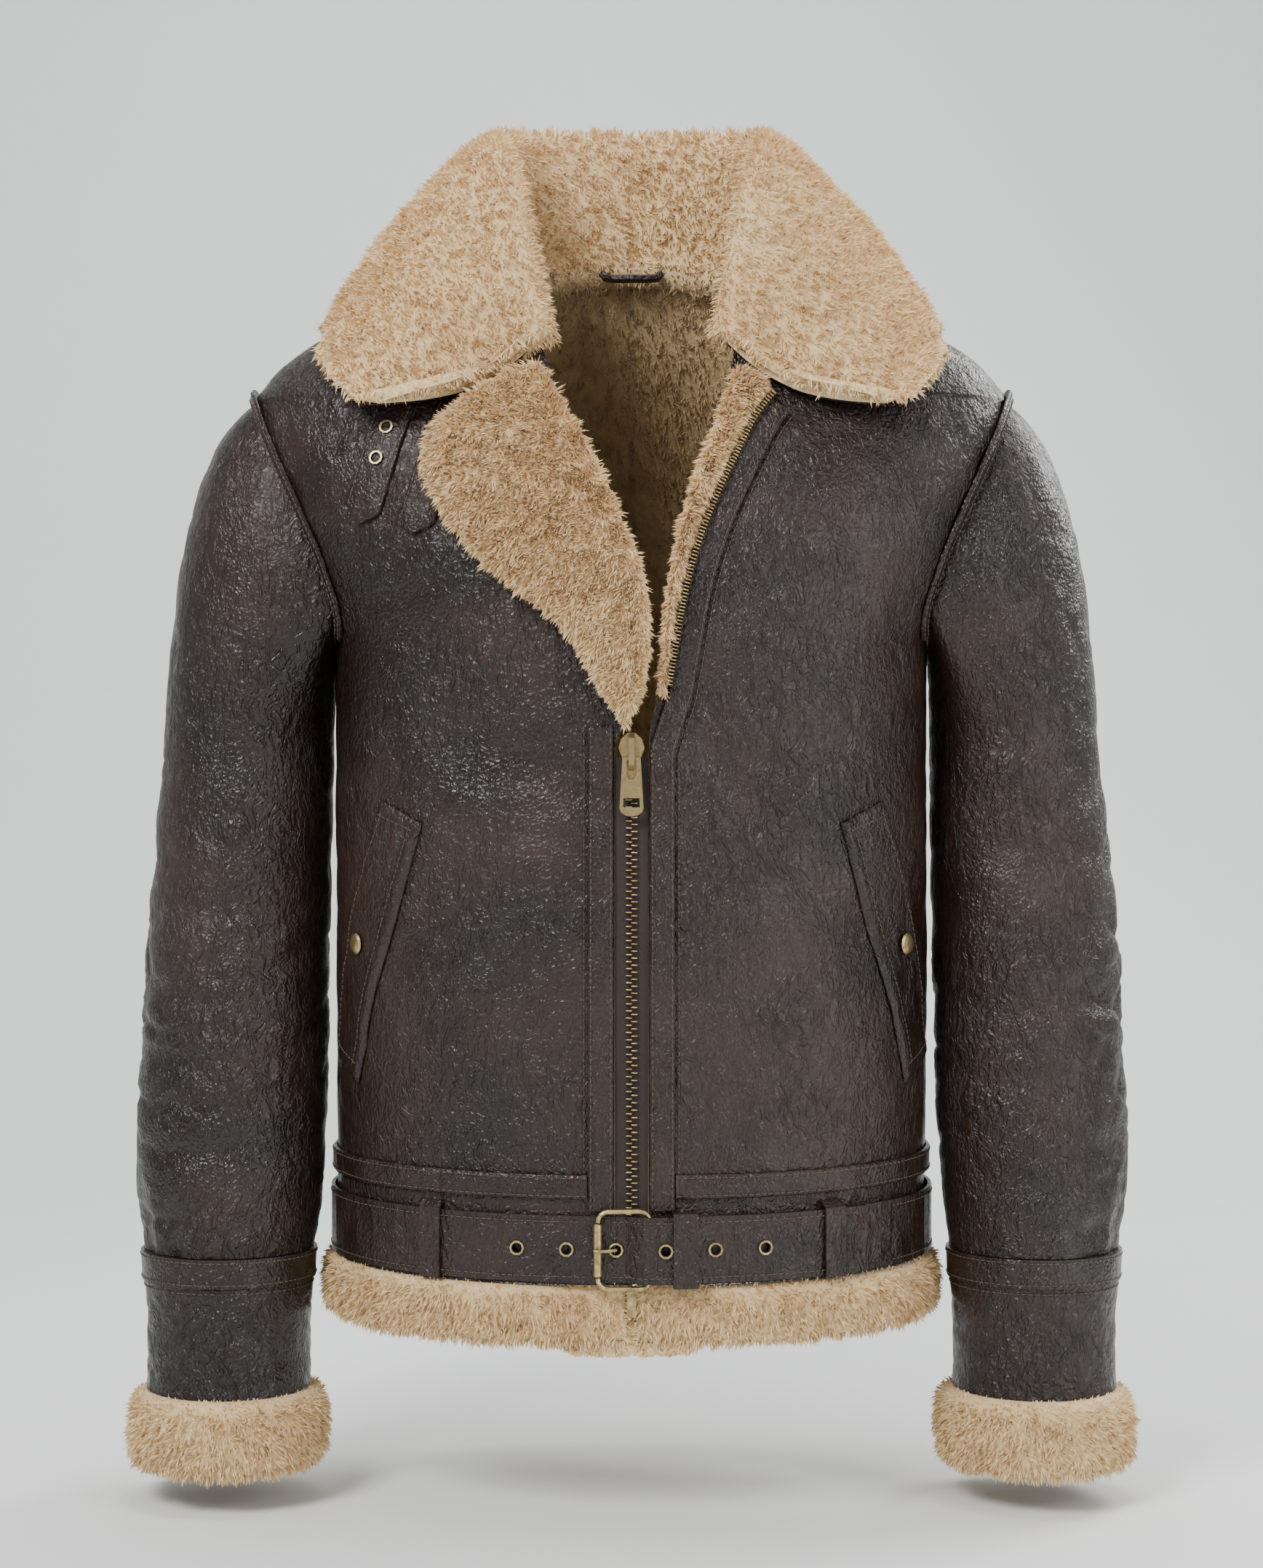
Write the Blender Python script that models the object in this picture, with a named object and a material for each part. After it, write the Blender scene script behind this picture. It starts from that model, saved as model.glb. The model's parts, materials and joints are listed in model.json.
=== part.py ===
"""Sheepskin flying jacket, filled out as if worn: leather outside, fleece inside, belted hem.

Metres, +Z up. The front faces -Y. The origin is where the wearer's shoulders hold the jacket,
level with the side of the neck. "right" and "left" are the wearer's, so right is -X.
"""

import math

import bmesh
import bpy
import numpy as np
from mathutils import Matrix, Vector

# Driving sizes
BODY_WALL = 0.009
SLEEVE_WALL = 0.008
COLLAR_HALF = 0.0062
SEAM_HALF = 0.00018
LEATHER_STRIP = 0.0022
LYING_GAP = 0.0008
HEM_Z = -0.617
NECK_Z = -0.002
ARMPIT_Z = -0.235
SHOULDER_TIP_Z = -0.076
SLIDER_Z = -0.298

# Torso, one row for each level
TORSO_COLUMNS = ("z", "half_width", "front", "back", "square", "front_drop", "back_rise")
TORSO_ROWS = (
    (-0.660, 0.1890, 0.1320, 0.1150, 2.30, 0.0045, 0.000),
    (-0.617, 0.1890, 0.1330, 0.1160, 2.30, 0.0045, 0.000),
    (-0.560, 0.1890, 0.1330, 0.1170, 2.30, 0.0045, 0.000),
    (-0.450, 0.1900, 0.1350, 0.1210, 2.30, 0.0000, 0.000),
    (-0.330, 0.1900, 0.1370, 0.1290, 2.35, 0.0000, 0.000),
    (-0.235, 0.1900, 0.1380, 0.1350, 2.40, 0.0000, 0.000),
    (-0.217, 0.1960, 0.1370, 0.1360, 2.40, 0.0000, 0.000),
    (-0.185, 0.2090, 0.1350, 0.1365, 2.45, 0.0000, 0.000),
    (-0.147, 0.2280, 0.1270, 0.1350, 2.50, 0.0000, 0.000),
    (-0.112, 0.2410, 0.1150, 0.1280, 2.50, 0.0000, 0.000),
    (-0.090, 0.2445, 0.1050, 0.1200, 2.50, 0.0000, 0.000),
    (-0.076, 0.2435, 0.0980, 0.1140, 2.50, 0.0000, 0.001),
    (-0.066, 0.2365, 0.0930, 0.1100, 2.50, 0.0000, 0.002),
    (-0.050, 0.2220, 0.0860, 0.1030, 2.45, 0.0000, 0.005),
    (-0.031, 0.1910, 0.0800, 0.0950, 2.40, 0.0000, 0.010),
    (-0.014, 0.1350, 0.0780, 0.0880, 2.30, 0.0000, 0.016),
    (0.0050, 0.0700, 0.0740, 0.0790, 2.20, 0.0000, 0.022),
)

# Where each front ends towards the middle: the closed zip below the slider, the roll of the lapel above it
EDGE_COLUMNS = ("z", "right", "left")
FRONT_EDGES = (
    (-0.660, 0.0105, 0.0105),
    (-0.306, 0.0105, 0.0105),
    (-0.287, 0.0065, 0.0110),
    (-0.270, -0.0050, 0.0155),
    (-0.250, -0.0110, 0.0175),
    (-0.225, -0.0125, 0.0190),
    (-0.192, -0.0080, 0.0240),
    (-0.154, 0.0070, 0.0330),
    (-0.110, 0.0285, 0.0480),
    (-0.075, 0.0460, 0.0590),
    (-0.044, 0.0580, 0.0650),
    (-0.020, 0.0700, 0.0720),
    (-0.002, 0.0740, 0.0740),
)

# Armhole, as the width at which the panel stops
ARMHOLE_COLUMNS = ("z", "front", "back")
ARMHOLE_ROWS = (
    (-0.235, 0.1900, 0.1900),
    (-0.217, 0.1855, 0.1870),
    (-0.185, 0.1945, 0.1960),
    (-0.147, 0.2116, 0.2150),
    (-0.112, 0.2280, 0.2320),
    (-0.085, 0.2395, 0.2410),
    (-0.076, 0.2435, 0.2435),
)

# Soft hollows in the torso leather: side, middle, direction, length, width and depth
# Each row: side, x, z, tilt, length, width, depth
TORSO_HOLLOWS = (
    (-1, 0.115, -0.250, 68.0, 0.075, 0.020, 0.0032),
    (-1, 0.070, -0.305, 20.0, 0.060, 0.016, 0.0026),
    (-1, 0.060, -0.470, 75.0, 0.090, 0.018, 0.0024),
    (1, 0.075, -0.330, -52.0, 0.110, 0.018, 0.0036),
    (1, 0.055, -0.265, -30.0, 0.060, 0.015, 0.0026),
    (1, 0.110, -0.300, 12.0, 0.055, 0.016, 0.0028),
    (1, 0.125, -0.225, 72.0, 0.080, 0.020, 0.0030),
)

# Sleeve below the cap, one row for each level, for the left sleeve
SLEEVE_COLUMNS = ("z", "x", "y", "half_width", "half_depth")
SLEEVE_ROWS = (
    (-0.760, 0.2550, -0.041, 0.0512, 0.0530),
    (-0.700, 0.2550, -0.036, 0.0512, 0.0530),
    (-0.614, 0.2560, -0.028, 0.0535, 0.0550),
    (-0.600, 0.2562, -0.026, 0.0560, 0.0575),
    (-0.573, 0.2565, -0.022, 0.0590, 0.0600),
    (-0.523, 0.2560, -0.016, 0.0612, 0.0620),
    (-0.472, 0.2550, -0.010, 0.0608, 0.0640),
    (-0.422, 0.2540, -0.004, 0.0600, 0.0650),
    (-0.371, 0.2515, 0.000, 0.0580, 0.0650),
    (-0.295, 0.2475, 0.006, 0.0545, 0.0640),
    (-0.200, 0.2440, 0.008, 0.0520, 0.0640),
)
CAP_Z = -0.295
BAND_TOP_Z, BAND_BOTTOM_Z = -0.6143, -0.632
CUFF_BOTTOM_Z = -0.700
SLEEVE_AROUND = 20
SLEEVE_LEVELS = (
    -0.295, -0.335, -0.362, -0.382, -0.398, -0.414, -0.434, -0.453, -0.472, -0.491,
    -0.510, -0.530, -0.549, -0.575, -0.596, -0.614,
)

# Creases across the sleeves: level, middle and reach round the sleeve, depth and width, and rise per degree
# Each row: side, z, middle, reach, depth, width, slant
SLEEVE_CREASES = (
    (-1, -0.398, 95.0, 70.0, 0.0026, 0.010, 0.00004),
    (-1, -0.453, 60.0, 75.0, 0.0034, 0.010, -0.00010),
    (-1, -0.491, 50.0, 80.0, 0.0032, 0.010, -0.00006),
    (-1, -0.549, 75.0, 75.0, 0.0026, 0.011, 0.00008),
    (-1, -0.362, 330.0, 80.0, 0.0026, 0.012, 0.00006),
    (-1, -0.470, 300.0, 80.0, 0.0030, 0.011, -0.00005),
    (1, -0.362, 80.0, 70.0, 0.0028, 0.010, 0.00006),
    (1, -0.414, 60.0, 75.0, 0.0030, 0.010, 0.00004),
    (1, -0.453, 50.0, 75.0, 0.0034, 0.010, 0.00008),
    (1, -0.510, 70.0, 75.0, 0.0030, 0.011, 0.00004),
    (1, -0.549, 60.0, 60.0, 0.0024, 0.010, -0.00006),
    (1, -0.436, 300.0, 80.0, 0.0030, 0.012, 0.00006),
)
# Pleats gathered into the sleeve band, as degrees round the sleeve
SLEEVE_PLEATS = {-1: (28.0, 55.0, 300.0), 1: (25.0, 50.0, 305.0)}
PLEAT_DEPTH, PLEAT_TOP_Z = 0.0034, -0.560

# Collar, from its front end (first row) to the middle of the back: fold line and leaf edge
# Each row: share of the seam, then the fold and the edge as x, y, z, and the sag
COLLAR_ROWS = (
    (0.00, 0.0570, -0.0930, -0.0430, 0.1700, -0.1150, -0.0880, 0.0240),
    (0.16, 0.0670, -0.0760, 0.0060, 0.1900, -0.0820, -0.0660, 0.0060),
    (0.32, 0.0765, -0.0480, 0.0540, 0.1950, -0.0450, -0.0440, 0.0),
    (0.48, 0.0850, -0.0120, 0.0900, 0.1900, 0.0000, -0.0160, 0.0),
    (0.62, 0.0880, 0.0380, 0.1060, 0.1740, 0.0600, -0.0160, 0.0),
    (0.76, 0.0720, 0.0810, 0.1160, 0.1350, 0.1060, -0.0160, 0.0),
    (0.88, 0.0370, 0.1000, 0.1195, 0.0700, 0.1210, -0.0150, 0.0),
    (1.00, 0.0000, 0.1040, 0.1200, 0.0000, 0.1240, -0.0150, 0.0),
)
COLLAR_STATIONS_HALF = 13
COLLAR_FRONT_SEAM_Z = -0.050

# Lapels: the roll and the free edge, as seen from the front
# Each row: x and z of the roll line, x and z of the edge
LAPEL_RIGHT = (
    (0.0008, -0.2820, 0.0052, -0.2830),
    (-0.0090, -0.2600, 0.0170, -0.2680),
    (-0.0120, -0.2260, 0.0330, -0.2400),
    (-0.0080, -0.1930, 0.0520, -0.2180),
    (0.0040, -0.1640, 0.0750, -0.2000),
    (0.0130, -0.1400, 0.0990, -0.1770),
    (0.0240, -0.1180, 0.1190, -0.1500),
    (0.0360, -0.0980, 0.1270, -0.1260),
    (0.0460, -0.0800, 0.1220, -0.1080),
    (0.0550, -0.0640, 0.1110, -0.0960),
)
LAPEL_LEFT = (
    (0.0172, -0.2620, 0.0190, -0.2640),
    (0.0180, -0.2300, 0.0235, -0.2360),
    (0.0205, -0.2040, 0.0280, -0.2100),
    (0.0250, -0.1780, 0.0350, -0.1820),
    (0.0320, -0.1500, 0.0460, -0.1520),
    (0.0415, -0.1220, 0.0600, -0.1220),
    (0.0530, -0.0920, 0.0740, -0.0950),
    (0.0620, -0.0660, 0.0860, -0.0800),
)
LAPEL_THICKNESS = {-1: 0.0150, 1: 0.0110}

# Belt and buckle
BELT_TOP_Z, BELT_BOTTOM_Z = -0.5750, -0.6150
BELT_GAP, BELT_THICKNESS = 0.0016, 0.0022
BUCKLE_ROLLER_X, BUCKLE_HEEL_X = -0.0200, 0.0110
BUCKLE_HEIGHT = 0.0500
BUCKLE_WIRE, BUCKLE_ROLLER = 0.0016, 0.0026
BELT_TIP_X = 0.1560
BELT_EYELETS_X = tuple(-0.0681 + 0.0294 * k for k in range(6))
BELT_EYELET_Z = -0.5950
EYELET_HOLE, EYELET_RIM = 0.0030, 0.0009
LOOP_X, LOOP_HALF = 0.1200, 0.0058
LOOP_BACK_X = 0.1000
KEEPER_X, KEEPER_HALF = 0.0318, 0.0053

# Collar straps, as seen from the front: middle at the top, middle at the point
STRAP_WIDTH, STRAP_POINT = 0.0230, 0.0090
STRAPS = {
    "outer": ((-0.1440, -0.0850), (-0.1670, -0.1610)),
    "inner": ((-0.1080, -0.0900), (-0.1330, -0.1680)),
}
STRAP_EYELETS = (0.26, 0.54)

# Slanted pockets: inner and outer line of the flap on the left front
# Each row: x and z of the inner side, x and z of the outer side
POCKET_ROWS = (
    (0.1270, -0.3440, 0.1535, -0.3300),
    (0.1350, -0.3730, 0.1670, -0.3680),
    (0.1465, -0.4140, 0.1760, -0.4050),
    (0.1590, -0.4550, 0.1820, -0.4470),
    (0.1690, -0.5050, 0.1855, -0.4900),
)
SNAP_RADIUS, SNAP_HEIGHT = 0.0068, 0.0026
SNAP_AT = (0.1680, -0.4190)

# Zip
ZIP_TAPE_HALF = 0.0100
ZIP_CHAIN_HALF, ZIP_CHAIN_DEPTH = 0.0036, 0.0022
ZIP_STRIP_INNER, ZIP_STRIP_OUTER = 0.0108, 0.0262
ZIP_BOTTOM_Z = -0.6360
PULL_LENGTH, PULL_TOP_HALF, PULL_BOTTOM_HALF, PULL_THICKNESS = 0.0345, 0.0055, 0.0072, 0.0016
SLIDER_AXIS_Z = -0.3050

COLOURS = {
    "leather": ((0.045, 0.024, 0.019), 0.42, 0.0),
    "leather_trim": ((0.040, 0.021, 0.017), 0.38, 0.0),
    "fleece": ((0.62, 0.44, 0.26), 0.95, 0.0),
    "brass": ((0.47, 0.34, 0.14), 0.32, 1.0),
    "tape": ((0.035, 0.022, 0.018), 0.85, 0.0),
}


def clear_scene():
    for obj in list(bpy.data.objects):
        bpy.data.objects.remove(obj, do_unlink=True)


def collection(name):
    made = bpy.data.collections.new(name)
    bpy.context.scene.collection.children.link(made)
    return made


def material(name):
    found = bpy.data.materials.get(name)
    if found:
        return found
    colour, roughness, metallic = COLOURS[name]
    made = bpy.data.materials.new(name)
    made.use_nodes = True
    shader = made.node_tree.nodes["Principled BSDF"]
    shader.inputs["Base Color"].default_value = (*colour, 1.0)
    shader.inputs["Roughness"].default_value = roughness
    shader.inputs["Metallic"].default_value = metallic
    return made


def place(name, data, finish, to):
    obj = bpy.data.objects.new(name, data)
    to.objects.link(obj)
    if finish:
        data.materials.append(material(finish))
    return obj


def side_name(side):
    return "left" if side > 0 else "right"


def unit(v):
    v = np.asarray(v, float)
    return v / np.linalg.norm(v)


# Curves through table rows
def column(rows, names, name):
    return [row[names.index(name)] for row in rows]


def smooth(xs, ys, x):
    """A curve through (xs, ys) that doesn't swing past its points."""
    xs, ys = np.asarray(xs, float), np.asarray(ys, float)
    step, slope = np.diff(xs), np.diff(ys) / np.diff(xs)
    tangent = np.zeros(len(xs))
    for i in range(1, len(xs) - 1):
        if slope[i - 1] * slope[i] > 0:
            w1, w2 = 2 * step[i] + step[i - 1], step[i] + 2 * step[i - 1]
            tangent[i] = (w1 + w2) / (w1 / slope[i - 1] + w2 / slope[i])
    tangent[0], tangent[-1] = slope[0], slope[-1]
    i = int(np.clip(np.searchsorted(xs, x) - 1, 0, len(xs) - 2))
    t = float(np.clip((x - xs[i]) / step[i], 0, 1))
    return (
        (2 * t**3 - 3 * t**2 + 1) * ys[i]
        + (t**3 - 2 * t**2 + t) * step[i] * tangent[i]
        + (3 * t**2 - 2 * t**3) * ys[i + 1]
        + (t**3 - t**2) * step[i] * tangent[i + 1]
    )


def row_at(rows, names, z, first="z"):
    keys = column(rows, names, first)
    return {n: smooth(keys, column(rows, names, n), z) for n in names if n != first}


def along(rows, t):
    """The row a share t of the way through a table, column by column."""
    share = np.linspace(0, 1, len(rows))
    return np.array([smooth(share, [row[c] for row in rows], t) for c in range(len(rows[0]))])


# The torso surface
TORSO_CACHE = {}


def torso_row(z):
    key = round(z, 7)
    if key not in TORSO_CACHE:
        TORSO_CACHE[key] = row_at(TORSO_ROWS, TORSO_COLUMNS, z)
    return TORSO_CACHE[key]


def hollow_depth(x, z, turn):
    if turn >= 0:
        return 0.0
    depth = 0.0
    for side, mx, mz, tilt, length, width, deep in TORSO_HOLLOWS:
        if side * x <= 0:
            continue
        dx, dz = abs(x) - mx, z - mz
        c, s = math.cos(math.radians(tilt)), math.sin(math.radians(tilt))
        depth += deep * math.exp(-(((dx * c + dz * s) / length) ** 2) - ((dz * c - dx * s) / width) ** 2)
    return depth


def torso_plain(turn, z):
    row = torso_row(z)
    c, s = math.cos(turn), math.sin(turn)
    reach = (abs(c) ** row["square"] + abs(s) ** row["square"]) ** (-1 / row["square"])
    depth = row["front"] if s < 0 else row["back"]
    shift = row["back_rise"] * max(s, 0) ** 2 - row["front_drop"] * max(-s, 0) ** 2
    return np.array((row["half_width"] * reach * c, depth * reach * s, z + shift))


def torso_normal(turn, z):
    d = 0.002
    across = torso_plain(turn + d, z) - torso_plain(turn - d, z)
    up = torso_plain(turn, z + d) - torso_plain(turn, z - d)
    return unit(np.cross(across, up))


def torso(turn, z, out=0.0):
    """The torso's leather at an angle round the body (front is -90 degrees) and a level, moved out."""
    point = torso_plain(turn, z)
    sunk = hollow_depth(point[0], z, math.sin(turn))
    return point + torso_normal(turn, z) * (out - sunk)


def turn_at(x, z, face):
    """The angle round the body at which a level is |x| wide, on the front (face -1) or the back."""
    row = torso_row(z)
    across = min(abs(x) / row["half_width"], 1.0)
    deep = (1 - across ** row["square"]) ** (1 / row["square"])
    turn = math.atan2(face * deep, across)
    return turn if x >= 0 else face * math.pi - turn


def front_point(x, z, out=0.0):
    return torso(turn_at(x, z, -1), z, out)


def inside_torso(x, y, z):
    """Under 1 inside the plain torso, over 1 outside it."""
    row = torso_row(z)
    depth = row["front"] if y < 0 else row["back"]
    square = row["square"]
    return ((abs(x) / row["half_width"]) ** square + (abs(y) / depth) ** square) ** (1 / square)


def kept_clear(point, gap):
    """The point moved off the torso, up or outwards, whichever is nearer."""
    x, y, z = point
    rise = torso_row(z)["back_rise"] if y > 0 else 0.0
    level = min(z - rise, NECK_Z)
    reach = math.hypot(x, y)
    ratio = inside_torso(x, y, level)
    short = (1 - ratio) * reach / max(ratio, 0.2) + gap
    if short <= 0 or z > 0.035:
        return np.array(point)
    low, high = level, NECK_Z
    for _ in range(24):
        middle = (low + high) / 2
        low, high = (middle, high) if inside_torso(x, y, middle) < 1 else (low, middle)
    lift = high - level + gap
    if lift < short:
        return np.array((x, y, z + lift))
    return np.array((x + x / reach * short, y + y / reach * short, z))


# Mesh building
def mesh_object(name, points, faces, finish, to, smooth_angle=40):
    bm = bmesh.new()
    verts = [bm.verts.new(p) for p in points]
    for face in faces:
        bm.faces.new([verts[i] for i in face])
    bmesh.ops.recalc_face_normals(bm, faces=bm.faces)
    if bm.calc_volume(signed=True) < 0:
        bmesh.ops.reverse_faces(bm, faces=bm.faces)
    mesh = bpy.data.meshes.new(name)
    bm.to_mesh(mesh)
    bm.free()
    mesh.shade_smooth()
    mesh.set_sharp_from_angle(angle=math.radians(smooth_angle))
    return place(name, mesh, finish, to)


def wall(name, outer, inner, finish, to, around=False):
    """A closed wall between two grids of points. Around joins each row's last point to its first."""
    outer, inner = np.asarray(outer), np.asarray(inner)
    rows, cols = outer.shape[:2]
    points = np.concatenate([outer.reshape(-1, 3), inner.reshape(-1, 3)])
    half = rows * cols
    spans = cols if around else cols - 1
    faces = []
    for r in range(rows - 1):
        for c in range(spans):
            a, b = r * cols + c, r * cols + (c + 1) % cols
            faces.append((a, b, b + cols, a + cols))
            faces.append((a + half, a + cols + half, b + cols + half, b + half))
    rim = [[(r, c) for c in range(cols)] for r in (0, rows - 1)]
    if not around:
        rim += [[(r, c) for r in range(rows)] for c in (0, cols - 1)]
    for line in rim:
        ids = [r * cols + c for r, c in line]
        closed = around and len({r for r, _ in line}) == 1
        pairs = zip(ids, ids[1:] + ids[:1]) if closed else zip(ids, ids[1:])
        faces.extend((i, j, j + half, i + half) for i, j in pairs)
    return mesh_object(name, points, faces, finish, to)


def loft(name, sections, finish, to, ring=False, smooth_angle=40):
    """A solid through closed sections of equal length, capped unless it is a ring."""
    sections = np.asarray(sections)
    count, size = sections.shape[:2]
    faces = []
    for k in range(count if ring else count - 1):
        here, there = k * size, (k + 1) % count * size
        for i in range(size):
            j = (i + 1) % size
            faces.append((here + i, here + j, there + j, there + i))
    if not ring:
        faces.append(tuple(range(size)))
        faces.append(tuple(range((count - 1) * size, count * size)))
    return mesh_object(name, sections.reshape(-1, 3), faces, finish, to, smooth_angle)


def band(name, surface, turns, low_z, high_z, low_out, high_out, finish, to, ring=False):
    """A strip that lies on a surface: bottom and top edge, near and far side."""
    corners = ((low_z, low_out), (high_z, low_out), (high_z, high_out), (low_z, high_out))
    sections = [[surface(t, z, out) for z, out in corners] for t in turns]
    return loft(name, sections, finish, to, ring)


def mirrored(turn, side):
    """A turn from -90 to 90 degrees on the left, or its mirror image on the right."""
    return turn if side > 0 else math.pi - turn


# Body panels
BELOW_ARMPIT = (HEM_Z, -0.575, -0.530, -0.485, -0.440, -0.395, -0.350, -0.325, -0.306, -0.287, -0.268, -0.252)
ABOVE_SHOULDER = (-0.062, -0.045, -0.026, NECK_Z)


def panel_levels():
    return [*BELOW_ARMPIT, *armhole_levels()[::-1], *ABOVE_SHOULDER]


def outer_turn(z, face):
    """Where a panel ends at the side: the side seam, the armhole, then the shoulder seam."""
    row = torso_row(z)
    seam = face * SEAM_HALF / row["front"]
    if not ARMPIT_Z < z < SHOULDER_TIP_Z:
        return seam
    width = row_at(ARMHOLE_ROWS, ARMHOLE_COLUMNS, z)["front" if face < 0 else "back"]
    width = min(width, row["half_width"] * 0.9995)
    return min(turn_at(width, z, face), seam) if face < 0 else max(turn_at(width, z, face), seam)


def front_edge_x(z, side):
    return row_at(FRONT_EDGES, EDGE_COLUMNS, z)[side_name(side)]


def body_panel(name, side, face, columns, finish, to):
    outer, inner = [], []
    for z in panel_levels():
        end = outer_turn(z, face)
        if face < 0:
            x = front_edge_x(z, side)
            start = turn_at(x, z, -1)
        else:
            start = math.pi / 2 - SEAM_HALF / torso_row(z)["half_width"]
        turns = [mirrored(start + (end - start) * u, side) for u in np.linspace(0, 1, columns)]
        outer.append([torso(t, z) for t in turns])
        inner.append([torso(t, z, -BODY_WALL) for t in turns])
    return wall(name, outer, inner, finish, to)


# Sleeves
def armhole_levels():
    """Levels of even points down the armhole, from the shoulder tip to the armpit."""
    levels = np.linspace(SHOULDER_TIP_Z, ARMPIT_Z, 60)
    points = np.array([torso_plain(outer_turn(z, -1), z) for z in levels])
    run = np.concatenate([[0], np.cumsum(np.linalg.norm(np.diff(points, axis=0), axis=1))])
    found = [float(z) for z in np.interp(np.linspace(0, run[-1], SLEEVE_AROUND // 2 + 1), run, levels)]
    return [SHOULDER_TIP_Z, *found[1:-1], ARMPIT_Z]


def armhole_loop(side):
    """(turn, level) round the whole armhole: tip, front, armpit, back."""
    front = [(mirrored(outer_turn(z, -1), side), z) for z in armhole_levels()]
    back = [(mirrored(outer_turn(z, 1), side), z) for z in armhole_levels()]
    return front + back[-2:0:-1]


def crease_depth(side, degrees, z):
    depth = 0.0
    for s, mz, middle, reach, deep, width, slant in SLEEVE_CREASES:
        if s != side:
            continue
        away = (degrees - middle + 180) % 360 - 180
        if abs(away) < reach:
            fade = math.cos(away / reach * math.pi / 2) ** 2
            depth += deep * fade * math.exp(-(((z - mz - slant * away) / width) ** 2))
    if z < PLEAT_TOP_Z:
        down = min((PLEAT_TOP_Z - z) / 0.045, 1.0)
        for at in SLEEVE_PLEATS[side]:
            away = (degrees - at + 180) % 360 - 180
            depth += PLEAT_DEPTH * down * math.exp(-((away / 9.0) ** 2))
    return depth


def sleeve(angle, z, side, out=0.0):
    """The sleeve below its cap. Angle 0 is the outer side, 90 degrees the front."""
    row = row_at(SLEEVE_ROWS, SLEEVE_COLUMNS, z)
    c, s = math.cos(angle), math.sin(angle)
    out -= crease_depth(side, math.degrees(angle) % 360, z)
    x = row["x"] + (row["half_width"] + out) * c
    return np.array((side * x, row["y"] - (row["half_depth"] + out) * s, z))


def hermite(start, leave, end, arrive, t):
    return (
        (2 * t**3 - 3 * t**2 + 1) * start
        + (t**3 - 2 * t**2 + t) * leave
        + (3 * t**2 - 2 * t**3) * end
        + (t**3 - t**2) * arrive
    )


def sleeve_cap_rings(side):
    loop = armhole_loop(side)
    edge = np.array([torso(t, z) for t, z in loop])
    torso_out = np.array([torso_normal(t, z) for t, z in loop])
    centre = edge.mean(axis=0)
    across = centre - edge
    across -= torso_out * np.sum(across * torso_out, axis=1)[:, None]
    across /= np.linalg.norm(across, axis=1)[:, None]
    start = edge + across * SEAM_HALF * 2.4
    angles = 2 * math.pi * np.arange(SLEEVE_AROUND) / SLEEVE_AROUND
    rings = []
    for t in (0.0, 0.07, 0.2, 0.36, 0.52, 0.68, 0.84):
        ring = []
        for k, angle in enumerate(angles):
            top, under = max(math.cos(angle), 0), max(-math.cos(angle), 0)
            front = abs(math.sin(angle))
            share = np.array((top, front, under)) / (top + front + under)
            leave = share @ np.array(((0.150, 0, -0.100), (0.085, 0, -0.080), (0.004, 0, -0.050)))
            leave[1] = -0.018 * math.sin(angle)
            leave[0] *= side
            arrive = share @ np.array(((0.010, 0, -0.200), (0.004, 0, -0.110), (0.002, 0, -0.060)))
            arrive[0] *= side
            ring.append(hermite(start[k], leave, sleeve(angle, CAP_Z, side), arrive, t))
        rings.append(ring)
    return np.array(rings), torso_out, across


def grid_normals(grid):
    """Outward normals of a tube of rings, running down from its first ring."""
    up = np.gradient(grid, axis=0)
    round_ = np.roll(grid, -1, axis=1) - np.roll(grid, 1, axis=1)
    normal = np.cross(round_, up)
    normal /= np.linalg.norm(normal, axis=2)[:, :, None]
    middle = grid.mean(axis=1, keepdims=True)
    if np.sum(normal * (grid - middle)) < 0:
        normal = -normal
    return normal


def sleeve_grid(side):
    cap, torso_out, across = sleeve_cap_rings(side)
    angles = 2 * math.pi * np.arange(SLEEVE_AROUND) / SLEEVE_AROUND
    below = np.array([[sleeve(a, z, side) for a in angles] for z in SLEEVE_LEVELS])
    grid = np.concatenate([cap, below])
    normal = grid_normals(grid)
    excess = np.sum((normal[0] - torso_out) * across, axis=1)
    normal[0] -= across * np.maximum(excess, 0)[:, None]
    normal[0] /= np.linalg.norm(normal[0], axis=1)[:, None]
    return grid, normal


def make_sleeve(side, to):
    grid, normal = sleeve_grid(side)
    name = side_name(side)
    wall(f"sleeve_{name}", grid, grid - normal * SLEEVE_WALL, "leather", to, around=True)

    angles = [2 * math.pi * k / 22 for k in range(22)]

    def tube(part, levels, out, thick, finish):
        outer = [[sleeve(a, z, side, o) for a in angles] for z, o in zip(levels, out)]
        inner = [[sleeve(a, z, side, o - thick) for a in angles] for z, o in zip(levels, out)]
        return wall(part, outer, inner, finish, to, around=True)

    tube(f"sleeve_band_{name}", (BAND_TOP_Z, BAND_BOTTOM_Z), (0.0022, 0.0022), 0.0095, "leather_trim")
    cuff_levels = (BAND_BOTTOM_Z - 0.0003, -0.655, -0.680, CUFF_BOTTOM_Z)
    tube(f"cuff_{name}", cuff_levels, (0.0008, 0.0, 0.0, 0.0004), 0.0075, "leather")


def rounded_box(half_radial, half_height, count):
    """A rounded section, wide by tall, as offsets."""
    turns = [2 * math.pi * (k + 0.5) / count for k in range(count)]
    reach = [(abs(math.cos(t)) ** 3 + abs(math.sin(t)) ** 3) ** (-1 / 3) for t in turns]
    return [(half_radial * r * math.cos(t), half_height * r * math.sin(t)) for t, r in zip(turns, reach)]


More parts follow.
